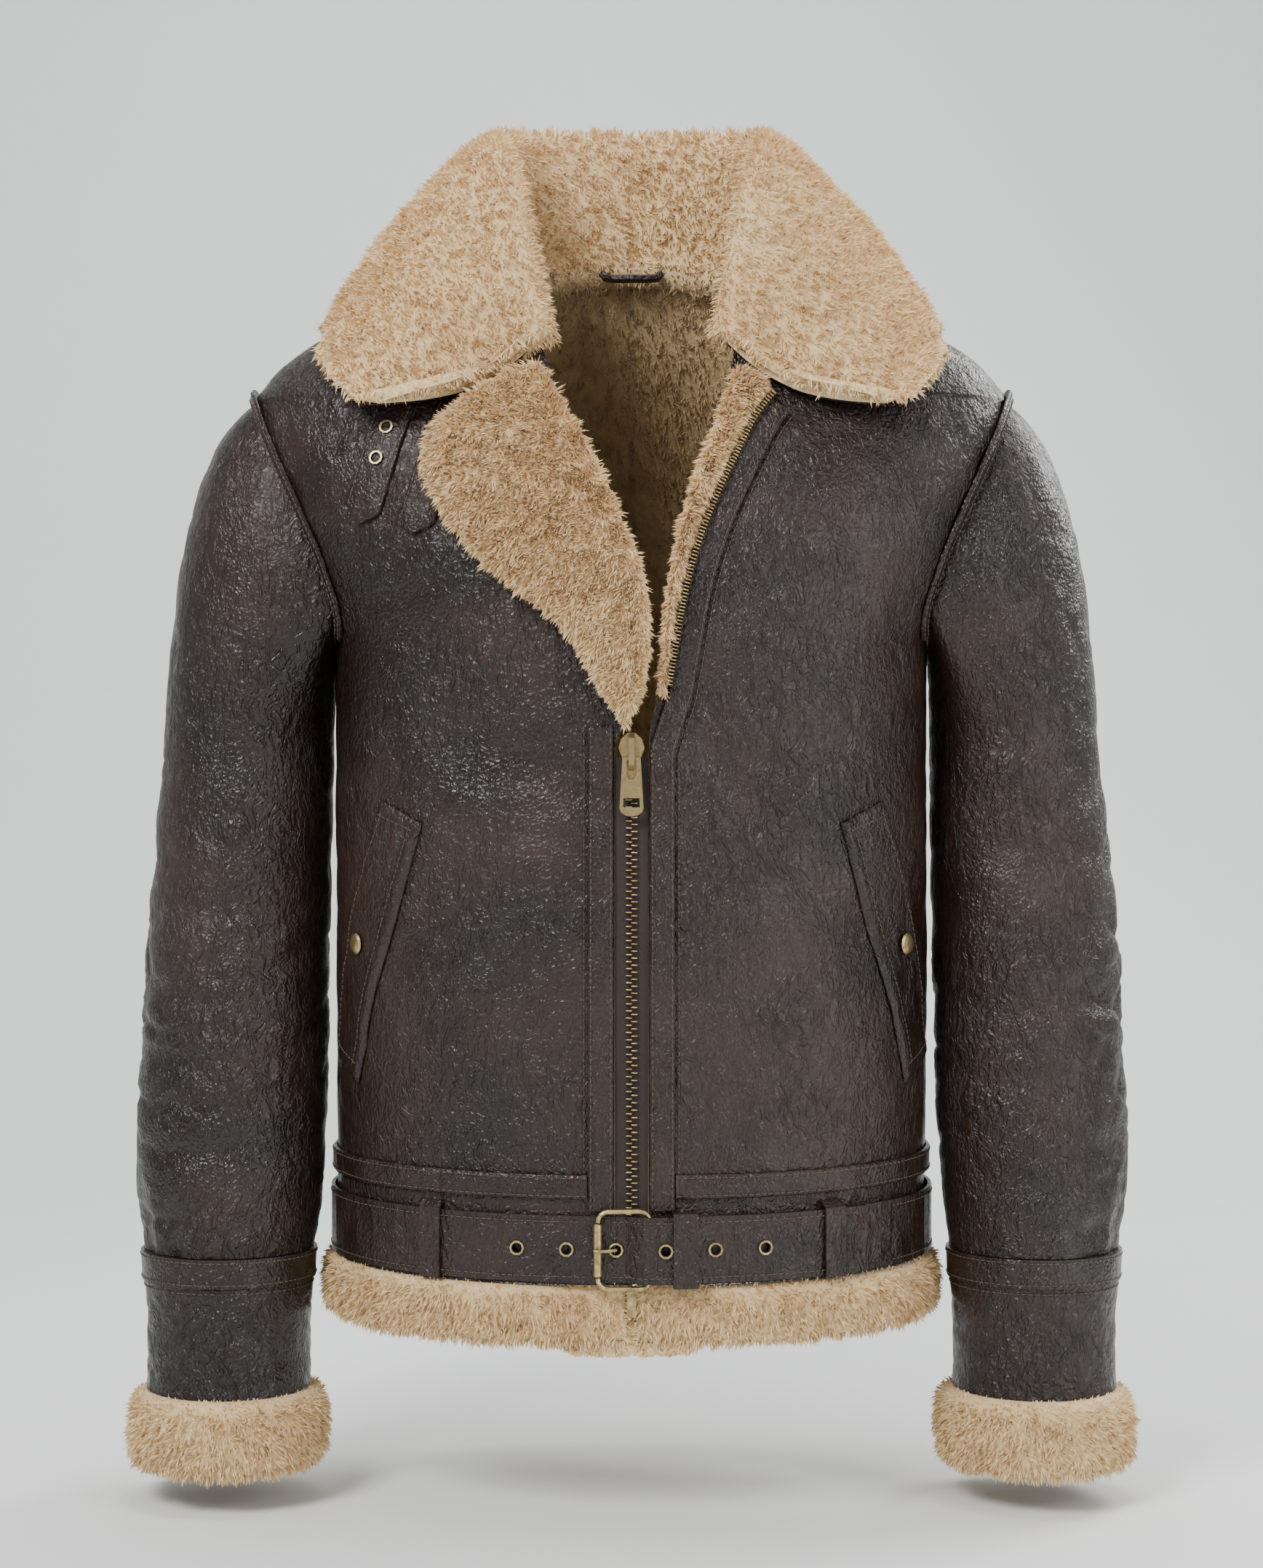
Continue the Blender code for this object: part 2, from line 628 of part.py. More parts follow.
def make_cuff_fleece(side, to):
    top, bottom, inner, outer = CUFF_BOTTOM_Z - 0.0004, -0.7495, -0.0150, 0.0125
    middle_z, middle_out = (top + bottom) / 2, (inner + outer) / 2
    shape = rounded_box((outer - inner) / 2, (top - bottom) / 2, 10)
    sections = []
    for k in range(20):
        angle = 2 * math.pi * k / 20
        sections.append([sleeve(angle, middle_z + dz, side, middle_out + dr) for dr, dz in shape])
    loft(f"cuff_fleece_{side_name(side)}", sections, "fleece", to, ring=True, smooth_angle=60)


def make_hem_fleece(side, to):
    top, bottom, inner, outer = HEM_Z - 0.0004, -0.6560, -0.0125, 0.0095
    middle_z, middle_out = (top + bottom) / 2, (inner + outer) / 2
    shape = rounded_box((outer - inner) / 2, (top - bottom) / 2, 10)
    start = turn_at(0.0035, middle_z, -1)
    end = math.pi / 2 - SEAM_HALF / 0.189
    sections = []
    for u in np.linspace(0, 1, 23):
        turn = mirrored(start + (end - start) * u, side)
        pressed = 0.0075 * math.exp(-((math.pi / 2 + start + (end - start) * u) / 0.25) ** 4)
        sections.append(
            [torso(turn, middle_z + dz, middle_out + dr - (pressed if dr > 0 else 0)) for dr, dz in shape]
        )
    loft(f"hem_fleece_{side_name(side)}", sections, "fleece", to, smooth_angle=60)


# Collar
def collar_seam_point(share, side):
    """The middle of the collar's lower edge: up the front edge, then round the neck."""
    split = 0.44
    if share < split:
        z = COLLAR_FRONT_SEAM_Z + (NECK_Z - COLLAR_FRONT_SEAM_Z) * share / split
        turn = turn_at(front_edge_x(z, side), z, -1)
    else:
        z = NECK_Z
        first = turn_at(front_edge_x(z, side), z, -1)
        turn = first + (math.pi / 2 - first) * (share - split) / (1 - split)
    point = torso(mirrored(turn, side), z)
    inward = unit((-point[0], 0.01 - point[1], 0))
    corner = 0.0026 * math.exp(-(((share - split) / 0.12) ** 2))
    return point + inward * (COLLAR_HALF + 0.0044 + corner) + np.array((0, 0, 0.0012))


def bezier(p0, p1, p2, p3, t):
    return (1 - t) ** 3 * p0 + 3 * (1 - t) ** 2 * t * p1 + 3 * (1 - t) * t**2 * p2 + t**3 * p3


def collar_middle_line(share, side):
    row = along(COLLAR_ROWS, share)
    seam = collar_seam_point(row[0], side)
    flip = np.array((side, 1, 1))
    fold, edge = row[1:4] * flip, row[4:7] * flip
    outward = unit((edge - seam) * np.array((1, 1, 0)))
    rise = fold - seam
    stand_end = fold - outward * 0.014
    leaf_start = fold + outward * 0.016
    line = [bezier(seam, seam + rise * 0.4, stand_end - rise * 0.1, fold, t) for t in (0, 0.3, 0.6, 0.82)]
    down = edge - leaf_start
    bow = outward * 0.012 + np.array((0, 0, 0.006))
    leaf_steps = (0, 0.14, 0.3, 0.5, 0.7, 0.86, 1.0)
    leaf_turn = leaf_start + down * 0.45 + bow
    line += [bezier(fold, leaf_start, leaf_turn, edge, t) for t in leaf_steps]
    line = np.array(line)
    line[4:, 2] -= row[7] * np.sin(math.pi * np.array(leaf_steps))
    return line


def thick_section(line, across, half):
    """A closed section round a line: out along one side, back along the other, rounded at the end."""
    tangent = np.gradient(line, axis=0)
    normal = np.cross(tangent, across)
    normal /= np.linalg.norm(normal, axis=1)[:, None]
    taper = np.ones(len(line))
    taper[-1] = 0.55
    near, far = line + normal * half * taper[:, None], line - normal * half * taper[:, None]
    return near, far


def make_collar(to):
    shares = np.linspace(0, 1, COLLAR_STATIONS_HALF)
    stations = [(s, 1) for s in shares] + [(s, -1) for s in shares[-2::-1]]
    lines = np.array([collar_middle_line(s, side) for s, side in stations])
    along_neck = np.gradient(lines, axis=0)
    sections = []
    for k, line in enumerate(lines):
        across = unit(along_neck[k].mean(axis=0))
        near, far = thick_section(line, across, COLLAR_HALF)
        share = stations[k][0]
        gap = 0.0050 if share < 0.5 else 0.0030
        leaf = range(5, len(line))
        for i in leaf:
            moved = kept_clear(far[i], gap)
            near[i] += moved - far[i]
            far[i] = moved
        sections.append(list(near) + list(far[::-1]))
    loft("collar", sections, "fleece", to, smooth_angle=60)


# Lapels
def lapel_section(row, side, thickness):
    """A flat oval from the roll to the free edge, lying on the front."""
    roll_x, roll_z, edge_x, edge_z = row
    low = 0.0033 if side < 0 else 0.0011
    upper, lower = [], []
    width = math.hypot(edge_x - roll_x, edge_z - roll_z)
    height = thickness * min(1.0, width / 0.012 * 0.6 + 0.25)
    for u in (0.0, 0.08, 0.22, 0.42, 0.62, 0.80, 0.93, 1.0):
        x = side * (roll_x + (edge_x - roll_x) * u)
        z = roll_z + (edge_z - roll_z) * u
        full = min(1.0, (1 - abs(2 * u - 1) ** 4) ** 0.5 * 1.02)
        middle = low + height / 2
        upper.append(front_point(x, z, middle + height / 2 * full))
        lower.append(front_point(x, z, middle - height / 2 * full * 0.96))
    return upper[:-1] + [upper[-1]] + lower[-2:0:-1]


def make_lapel(side, to):
    rows = LAPEL_RIGHT if side < 0 else LAPEL_LEFT
    sections = [lapel_section(along(rows, t), side, LAPEL_THICKNESS[side]) for t in np.linspace(0, 1, 15)]
    loft(f"lapel_{side_name(side)}", sections, "fleece", to, smooth_angle=60)


# Strips on the fronts and the hem
def ribbon_on_front(name, rows, width, low, high, finish, to, point=0.0):
    """A strip along (x, z) rows on the front, with a point at its far end if asked."""
    rows = np.asarray(rows, float)
    tangent = np.gradient(rows, axis=0)
    tangent /= np.linalg.norm(tangent, axis=1)[:, None]
    side = np.stack([-tangent[:, 1], tangent[:, 0]], axis=1)
    sections = []
    for k, (at, n) in enumerate(zip(rows, side)):
        half = width / 2
        if point and k == len(rows) - 1:
            at, half = at + tangent[k] * point, width * 0.04
        a, b = at - n * half, at + n * half
        corners = ((a, low), (b, low), (b, high), (a, high))
        sections.append([front_point(*corner, out) for corner, out in corners])
    return loft(name, sections, finish, to)


def make_zip_strip(side, to):
    """The raised leather strip beside the zip, which follows the front's edge above the slider."""
    levels = np.linspace(-0.5718, -0.300 if side > 0 else -0.286, 24)
    middle, half = (ZIP_STRIP_INNER + ZIP_STRIP_OUTER) / 2, (ZIP_STRIP_OUTER - ZIP_STRIP_INNER) / 2
    rows = [(side * middle, z) for z in levels]
    if side > 0:
        above = [along(LAPEL_LEFT, t) for t in np.linspace(0.0, 0.93, 14)]
        rows += [(row[2] + half + 0.0030, row[3] - 0.002) for row in above]
    name = f"zip_strip_{side_name(side)}"
    ribbon_on_front(name, rows, 2 * half, LYING_GAP + 0.0002, 0.0030, "leather_trim", to)


def make_waist_welts(to):
    low_z, high_z = -0.5655, -0.5505
    for side in (1, -1):
        start = turn_at(ZIP_STRIP_OUTER + 0.0004, low_z, -1)
        turns = [mirrored(t, side) for t in np.linspace(start, -0.0015, 13)]
        name = f"waist_welt_{side_name(side)}"
        band(name, torso, turns, low_z, high_z, LYING_GAP, LYING_GAP + LEATHER_STRIP, "leather_trim", to)
    turns = np.linspace(0.0015, math.pi - 0.0015, 25)
    far = LYING_GAP + LEATHER_STRIP
    band("waist_welt_back", torso, turns, low_z, high_z, LYING_GAP, far, "leather_trim", to)


def make_armhole_welt(side, to):
    """The strip on the body along the armhole, over the shoulder and down the back."""
    loop = armhole_loop(side)
    centre = np.array([torso(t, z) for t, z in loop]).mean(axis=0)
    count = len(loop)
    half = count // 2
    chosen = [loop[k % count] for k in range(-half + 2, half - 1)]
    sections = []
    for turn, z in chosen:
        normal = torso_normal(turn, z)
        edge = torso(turn, z)
        away = edge - centre
        away = unit(away - normal * np.dot(away, normal))
        near, far = edge + away * 0.0014, edge + away * 0.0100
        lift = 0.0012
        bend = normal * 0.0012
        far = far - normal * 0.0004
        crown = (near + far) / 2 + normal * (lift + 0.0026) + bend * 0.2
        edges = [near + normal * lift, far + normal * lift]
        edges += [far + normal * (lift + 0.0018), crown, near + normal * (lift + 0.0018)]
        sections.append(edges)
    loft(f"armhole_welt_{side_name(side)}", sections, "leather_trim", to)


def make_pocket(side, to):
    outer, inner = [], []
    for v in np.linspace(0, 1, 11):
        ix, iz, ox, oz = along(POCKET_ROWS, v)
        first, last = turn_at(ix, iz, -1), turn_at(ox, oz, -1)
        line_out, line_in = [], []
        for u in np.linspace(0, 1, 6):
            turn = mirrored(first + (last - first) * u, side)
            z = iz + (oz - iz) * u
            crown = LEATHER_STRIP * (0.75 + 0.45 * math.sin(math.pi * u))
            line_out.append(torso(turn, z, LYING_GAP + crown))
            line_in.append(torso(turn, z, LYING_GAP))
        outer.append(line_out)
        inner.append(line_in)
    wall(f"pocket_flap_{side_name(side)}", outer, inner, "leather_trim", to)

    turn = mirrored(turn_at(SNAP_AT[0], SNAP_AT[1], -1), side)
    at, normal = torso(turn, SNAP_AT[1], 0.0037), torso_normal(turn, SNAP_AT[1])
    dome = [(0.0, 1.0), (0.45, 0.92), (0.8, 0.68), (1.0, 0.28), (0.94, 0.0), (0.0, 0.0)]
    dome = [(r, h * SNAP_HEIGHT) for r, h in dome]
    turned(f"snap_{side_name(side)}", [(r * SNAP_RADIUS, h) for r, h in dome], 14, at, normal, "brass", to)


def turned(name, profile, steps, at, axis, finish, to):
    """A solid turned from (radius, height) points about an axis."""
    bm = bmesh.new()
    verts = [bm.verts.new((r, 0, h)) for r, h in profile]
    edges = [bm.edges.new(pair) for pair in zip(verts, verts[1:])]
    turned = verts + edges
    bmesh.ops.spin(bm, geom=turned, cent=(0, 0, 0), axis=(0, 0, 1), angle=2 * math.pi, steps=steps)
    bmesh.ops.remove_doubles(bm, verts=bm.verts, dist=1e-6)
    bmesh.ops.recalc_face_normals(bm, faces=bm.faces)
    mesh = bpy.data.meshes.new(name)
    bm.to_mesh(mesh)
    bm.free()
    mesh.shade_smooth()
    mesh.set_sharp_from_angle(angle=math.radians(40))
    obj = place(name, mesh, finish, to)
    obj.matrix_world = upright_at(at, axis)
    return obj


def upright_at(at, axis):
    """The place and turn of a round piece that stands on a point along an axis."""
    turn = Vector(axis).to_track_quat("Z", "Y").to_matrix().to_4x4()
    return Matrix.Translation(Vector(at)) @ turn


def eyelet(name, at, axis, to):
    """A pressed ring, turned from a small closed section."""
    bm = bmesh.new()
    centre = EYELET_HOLE + EYELET_RIM
    turns = [math.pi / 4 + 2 * math.pi * k / 4 for k in range(4)]
    wide, high = EYELET_RIM * 0.9, EYELET_RIM * 0.8
    verts = [bm.verts.new((centre + wide * math.cos(t), 0, high * math.sin(t))) for t in turns]
    edges = [bm.edges.new(pair) for pair in zip(verts, verts[1:] + verts[:1])]
    bmesh.ops.spin(bm, geom=verts + edges, cent=(0, 0, 0), axis=(0, 0, 1), angle=2 * math.pi, steps=10)
    bmesh.ops.remove_doubles(bm, verts=bm.verts, dist=1e-6)
    bmesh.ops.recalc_face_normals(bm, faces=bm.faces)
    mesh = bpy.data.meshes.new(name)
    bm.to_mesh(mesh)
    bm.free()
    obj = place(name, mesh, "brass", to)
    obj.matrix_world = upright_at(at, axis)
    return obj


def cylinder_cutter(name, at, axis, radius, depth, to):
    bm = bmesh.new()
    bmesh.ops.create_cone(bm, cap_ends=True, segments=12, radius1=radius, radius2=radius, depth=depth)
    mesh = bpy.data.meshes.new(name)
    bm.to_mesh(mesh)
    bm.free()
    cutter = place(name, mesh, None, to)
    cutter.matrix_world = upright_at(at, axis)
    cutter.hide_render = True
    cutter.display_type = "WIRE"
    return cutter


def cut(obj, cutter):
    modifier = obj.modifiers.new(f"cut_{cutter.name}", "BOOLEAN")
    modifier.operation = "DIFFERENCE"
    modifier.object = cutter


# Belt
def belt_out(x, on_tip):
    """How far the belt's near side stands off the body at a place on the front."""
    if not on_tip:
        return BELT_GAP
    over_heel = BELT_GAP + BELT_THICKNESS + 0.0004 + 2 * BUCKLE_WIRE + 0.0004
    over_layer = BELT_GAP + BELT_THICKNESS + 0.0006
    xs = (-0.040, -0.0035, BUCKLE_HEEL_X - 0.004, 0.0372, 0.0444, 0.160)
    outs = (BELT_GAP, BELT_GAP, over_heel, over_heel, over_layer, over_layer)
    return float(np.interp(x, xs, outs))


def belt_section(turn, out, z_low=BELT_BOTTOM_Z, z_high=BELT_TOP_Z):
    far = out + BELT_THICKNESS
    corners = ((z_low, out), (z_high, out), (z_high, far), (z_low, far))
    return [torso(turn, z, at) for z, at in corners]


def make_belt(to, cutters):
    """One strap: from the heel bar round the back, under the roller and over itself to its point."""
    middle_z = (BELT_TOP_Z + BELT_BOTTOM_Z) / 2
    start = turn_at(BUCKLE_HEEL_X + 0.0045, middle_z, -1)
    end = turn_at(-0.045, middle_z, -1) + 2 * math.pi
    sections = [belt_section(t, BELT_GAP) for t in np.linspace(start, end, 54)]
    xs = [-0.036, -0.027, -0.019, -0.011, -0.0035, 0.0018, 0.007, 0.0145, 0.022, 0.0296, 0.0372, 0.0444]
    xs += list(np.linspace(0.0540, BELT_TIP_X - 0.016, 10))
    for x in xs:
        sections.append(belt_section(turn_at(x, middle_z, -1), belt_out(x, True)))
    tip_turn = turn_at(BELT_TIP_X, middle_z, -1)
    sections.append(belt_section(tip_turn, belt_out(BELT_TIP_X, True), middle_z - 0.0010, middle_z + 0.0010))
    belt = loft("belt", sections, "leather_trim", to)
    for k, x in enumerate(BELT_EYELETS_X):
        turn = turn_at(x, BELT_EYELET_Z, -1)
        out = belt_out(x, True)
        normal = torso_normal(turn, BELT_EYELET_Z)
        middle = torso(turn, BELT_EYELET_Z, out + BELT_THICKNESS / 2)
        deep = BELT_THICKNESS + 0.0012
        cut(belt, cylinder_cutter(f"belt_hole_{k}", middle, normal, EYELET_HOLE, deep, cutters))
        at = torso(turn, BELT_EYELET_Z, out + BELT_THICKNESS + 0.0003 + EYELET_RIM * 0.8)
        eyelet(f"belt_eyelet_{k + 1}", at, normal, to)


def make_belt_loop(name, turn, out_high, reach, half, to):
    """A narrow strap standing over the belt, fastened to the body above and below it."""
    thick = 0.0018
    path = [
        (BELT_TOP_Z + reach, LYING_GAP), (BELT_TOP_Z + 0.0012, out_high), (BELT_BOTTOM_Z - 0.0006, out_high),
        (HEM_Z + 0.0002, LYING_GAP),
    ]
    half_turn = half / 0.16
    sections = []
    for z, out in path:
        a, b = turn - half_turn, turn + half_turn
        corners = ((a, out), (b, out), (b, out + thick), (a, out + thick))
        sections.append([torso(turn, z, at) for turn, at in corners])
    loft(name, sections, "leather_trim", to)


def make_belt_loops(to):
    middle_z = (BELT_TOP_Z + BELT_BOTTOM_Z) / 2
    single = BELT_GAP + BELT_THICKNESS + 0.0009
    double = belt_out(LOOP_X, True) + BELT_THICKNESS + 0.0009
    front = turn_at(LOOP_X, middle_z, -1)
    make_belt_loop("belt_loop_front_left", front, double, 0.0050, LOOP_HALF, to)
    make_belt_loop("belt_loop_front_right", mirrored(front, -1), single, 0.0050, LOOP_HALF, to)
    back = turn_at(LOOP_BACK_X, middle_z, 1)
    make_belt_loop("belt_loop_back_left", back, single, 0.0050, LOOP_HALF, to)
    make_belt_loop("belt_loop_back_right", mirrored(back, -1), single, 0.0050, LOOP_HALF, to)


def make_keeper(to):
    """The leather ring beside the buckle that holds the belt's free end."""
    middle_z = (BELT_TOP_Z + BELT_BOTTOM_Z) / 2
    turn = turn_at(KEEPER_X, middle_z, -1)
    out = belt_out(KEEPER_X, True) + BELT_THICKNESS + 0.0008
    half_turn = KEEPER_HALF / 0.14
    thick, over = 0.0016, 0.0008
    low, high = BELT_BOTTOM_Z - over, BELT_TOP_Z + over
    outline = [(low, BELT_GAP), (low, out), (high, out), (high, BELT_GAP)]
    around = [(-thick, 0.0), (-thick, thick), (thick, thick), (thick, 0.0)]
    sections = []
    for (z, o), (dz, do) in zip(outline, around):
        sections.append([
            torso(turn - half_turn, z, o), torso(turn + half_turn, z, o),
            torso(turn + half_turn, z + dz, o + do), torso(turn - half_turn, z + dz, o + do),
        ])
    loft("belt_keeper", sections, "leather_trim", to)


def wire(name, points, radius, finish, to, resolution=2):
    curve = bpy.data.curves.new(name, "CURVE")
    curve.dimensions = "3D"
    curve.bevel_depth = radius
    curve.bevel_resolution = resolution
    curve.use_fill_caps = True
    spline = curve.splines.new("POLY")
    spline.points.add(len(points) - 1)
    for target, p in zip(spline.points, points):
        target.co = (*p, 1)
    return place(name, curve, finish, to)


def make_buckle(to):
    middle_z = (BELT_TOP_Z + BELT_BOTTOM_Z) / 2
    roller_out = belt_out(BUCKLE_ROLLER_X, True) + BELT_THICKNESS + 0.0004 + BUCKLE_ROLLER
    heel_out = BELT_GAP + BELT_THICKNESS + 0.0004 + BUCKLE_WIRE
    roller = front_point(BUCKLE_ROLLER_X, middle_z, roller_out)
    heel = front_point(BUCKLE_HEEL_X, middle_z, heel_out)
    half, corner = BUCKLE_HEIGHT / 2 - BUCKLE_WIRE, 0.0065
    up = np.array((0.0, 0.0, 1.0))
    run = heel - roller
    length = np.linalg.norm(run)
    run /= length

    def at(s, h):
        return roller + run * s + up * h

    arc = [(1 - math.cos(a), math.sin(a)) for a in np.linspace(0, math.pi / 2, 5)]
    end = half - corner - 0.0010
    first = [at(c * corner, end + 0.0008 + s * corner) for c, s in arc]
    second = [at(length - c * corner, half - corner + s * corner) for c, s in arc][::-1]
    top = first + second
    bottom = [p - 2 * up * (p[2] - roller[2]) for p in top][::-1]
    wire("buckle_frame", top + bottom, BUCKLE_WIRE, "brass", to)
    narrow = BUCKLE_ROLLER * 0.8
    profile = [(0, -end), (narrow, -end), (BUCKLE_ROLLER, -end + 0.0006)]
    profile += [(BUCKLE_ROLLER, end - 0.0006), (narrow, end), (0, end)]
    turned("buckle_roller", profile, 14, roller, up, "brass", to)
    in_front = np.array((0.0, -1.0, 0.0))
    tongue_z = BELT_EYELET_Z - middle_z - torso_row(BELT_EYELET_Z)["front_drop"] * 0
    over = roller + in_front * (BUCKLE_ROLLER + 0.0016) + up * tongue_z
    hole = front_point(BELT_EYELETS_X[2], BELT_EYELET_Z, belt_out(BELT_EYELETS_X[2], True) + 0.0045)
    eyelet_x = BELT_EYELETS_X[2]
    inside = front_point(eyelet_x + 0.0012, BELT_EYELET_Z, belt_out(eyelet_x, True) + 0.0010)
    tip = over + np.array((-0.0022, 0.0012, 0))
    arched = (over + hole) / 2 + in_front * 0.0006
    wire("buckle_prong", [tip, over, arched, hole, inside], 0.0010, "brass", to, 1)


# Zip
def make_zip(to):
    levels = np.linspace(HEM_Z + 0.0004, -0.3040, 24)
    ribbon_on_front("zip_tape", [(0.0, z) for z in levels], 2 * ZIP_TAPE_HALF, -0.0030, -0.0014, "tape", to)
    levels = np.linspace(HEM_Z + 0.0004, -0.3020, 24)
    ribbon_on_front("zip_chain", [(0.0, z) for z in levels], 2 * ZIP_CHAIN_HALF, -0.0010, 0.0012, "brass", to)
    box = [(0.0, ZIP_BOTTOM_Z), (0.0, HEM_Z - 0.0004)]
    ribbon_on_front("zip_box", box, 0.0054, -0.0020, 0.0022, "brass", to)
    rows = [along(LAPEL_LEFT, t) for t in np.linspace(0.02, 0.97, 22)]
    line = [(row[2] + 0.0027, row[3] - 0.0003) for row in rows]
    ribbon_on_front("zip_edge_left", line, 0.0040, 0.0050, 0.0072, "brass", to)
    rows = [along(LAPEL_RIGHT, t) for t in np.linspace(0.12, 0.66, 14)]
    line = [(-(row[2] - 0.0040), row[3]) for row in rows]
    ribbon_on_front("zip_edge_right", line, 0.0040, 0.0008, 0.0030, "brass", to)


def make_slider(to):
    face = front_point(0.0, SLIDER_Z)[1]
    body_y = (face - 0.0030, face - 0.0014)
    outline = [
        (-0.0030, -0.3170), (0.0030, -0.3170), (0.0042, -0.3080), (0.0078, -0.2985),
        (0.0062, -0.2930), (0.0025, -0.2895), (-0.0025, -0.2895), (-0.0062, -0.2930),
        (-0.0078, -0.2985), (-0.0042, -0.3080),
    ]
    front = [(x, body_y[0], z) for x, z in outline]
    back = [(x, body_y[1], z) for x, z in outline]
    slider = loft("zip_slider", [back, front], "brass", to)

    axis_y = body_y[0] - 0.0018
    half, thick = 0.0017, 0.0012
    arch_line = (
        (-0.2900, body_y[0] + 0.0006),
        (-0.2925, axis_y - 0.0014),
        (-0.3010, axis_y - 0.0019),
        (-0.3085, axis_y - 0.0017),
        (-0.3120, body_y[0] + 0.0006),
    )
    arch = []
    for z, near in arch_line:
        arch.append([(-half, near, z), (half, near, z), (half, near - thick, z), (-half, near - thick, z)])
    arch = loft("slider_arch", arch, None, to)
    arch.hide_render = True
    arch.display_type = "WIRE"
    join = slider.modifiers.new("arch", "BOOLEAN")
    join.operation = "UNION"
    join.object = arch
    return axis_y


def make_pull(axis_y, to, cutters):
    """The tab that hangs from the slider's arch, with its origin on the hinge."""
    top = 0.0010
    outline = [(-PULL_TOP_HALF + 0.001, top), (PULL_TOP_HALF - 0.001, top), (PULL_TOP_HALF, top - 0.0008)]
    outline += [(PULL_BOTTOM_HALF, -PULL_LENGTH + 0.005)]
    for a in np.linspace(0, math.pi, 7)[1:-1]:
        outline.append((PULL_BOTTOM_HALF * math.cos(a), -PULL_LENGTH + 0.005 - 0.005 * math.sin(a)))
    outline += [(-PULL_BOTTOM_HALF, -PULL_LENGTH + 0.005), (-PULL_TOP_HALF, top - 0.0008)]
    half = PULL_THICKNESS / 2
    front = [(x, -half, z) for x, z in outline]
    back = [(x, half, z) for x, z in outline]
    pull = loft("zip_pull", [back, front], "brass", to)
    slot = [
        (-0.0029, -0.0009), (0.0029, -0.0009), (0.0029, -0.0100),
        (0.0014, -0.0122), (-0.0014, -0.0122), (-0.0029, -0.0100),
    ]
    window = [(-0.0048, -0.0235), (0.0048, -0.0235), (0.0050, -0.0290), (-0.0050, -0.0290)]
    for name, shape in (("pull_slot", slot), ("pull_window", window)):
        deep = PULL_THICKNESS
        ends = [[(x, y, z) for x, z in shape] for y in (-deep, deep)]
        cutter = loft(name, ends, None, cutters)
        cutter.location = (0, axis_y, SLIDER_AXIS_Z)
        cutter.hide_render = True
        cutter.display_type = "WIRE"
        cut(pull, cutter)
    pull.location = (0, axis_y, SLIDER_AXIS_Z)


def make_straps(to, cutters):
    for name, (top, tip) in STRAPS.items():
        top, tip = np.array(top), np.array(tip)
        along_strap = unit(tip - top)
        shoulder = tip - along_strap * STRAP_POINT
        rows = [top + (shoulder - top) * u for u in np.linspace(0, 1, 9)]
        low, high = LYING_GAP, LYING_GAP + LEATHER_STRIP
        strap = ribbon_on_front(
            f"collar_strap_{name}", rows, STRAP_WIDTH, low, high, "leather_trim", to, STRAP_POINT
        )
        if name == "outer":
            for k, share in enumerate(STRAP_EYELETS):
                x, z = top + (shoulder - top) * share
                normal = torso_normal(turn_at(x, z, -1), z)
                middle = front_point(x, z, low + LEATHER_STRIP / 2)
                deep = LEATHER_STRIP + 0.001
                hole = cylinder_cutter(f"strap_hole_{k}", middle, normal, 0.0026, deep, cutters)
                cut(strap, hole)
                eyelet(f"strap_eyelet_{k + 1}", front_point(x, z, low + LEATHER_STRIP + 0.0011), normal, to)


def make_hanger(to):
    """The leather loop sewn inside the back of the neck."""
    half = 0.0265
    points = []
    for t in np.linspace(0, 1, 9):
        x = half * math.cos(math.pi * (1 - t))
        sag = 0.006 * math.sin(math.pi * t) ** 0.6
        turn = turn_at(abs(x), NECK_Z, 1)
        base = torso(mirrored(turn, 1 if x >= 0 else -1), NECK_Z)
        inward = unit((-base[0], 0.01 - base[1], 0))
        stand = 2 * COLLAR_HALF + 0.0075 + 0.0085 * math.sin(math.pi * t)
        points.append(base + inward * stand + np.array((0, 0, 0.004 - sag)))
    wire("hanger_loop", points, 0.0028, "leather_trim", to)


def main():
    clear_scene()
    parts, cutters = collection("sheepskin_jacket"), collection("cutters")
    for side in (1, -1):
        name = side_name(side)
        body_panel(f"front_{name}", side, -1, 10, "leather", parts)
        body_panel(f"back_{name}", side, 1, 8, "leather", parts)
        make_sleeve(side, parts)
        make_cuff_fleece(side, parts)
        make_hem_fleece(side, parts)
        make_armhole_welt(side, parts)
        make_pocket(side, parts)
        make_zip_strip(side, parts)
        make_lapel(side, parts)
    make_collar(parts)
    make_waist_welts(parts)
    make_zip(parts)
    axis_y = make_slider(parts)
    make_pull(axis_y, parts, cutters)
    make_belt(parts, cutters)
    make_belt_loops(parts)
    make_keeper(parts)
    make_buckle(parts)
    make_straps(parts, cutters)
    make_hanger(parts)


main()
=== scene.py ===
import json
import math

import bmesh
import bpy
import numpy as np
from bpy.props import FloatProperty, FloatVectorProperty, PointerProperty
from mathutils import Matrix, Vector, noise

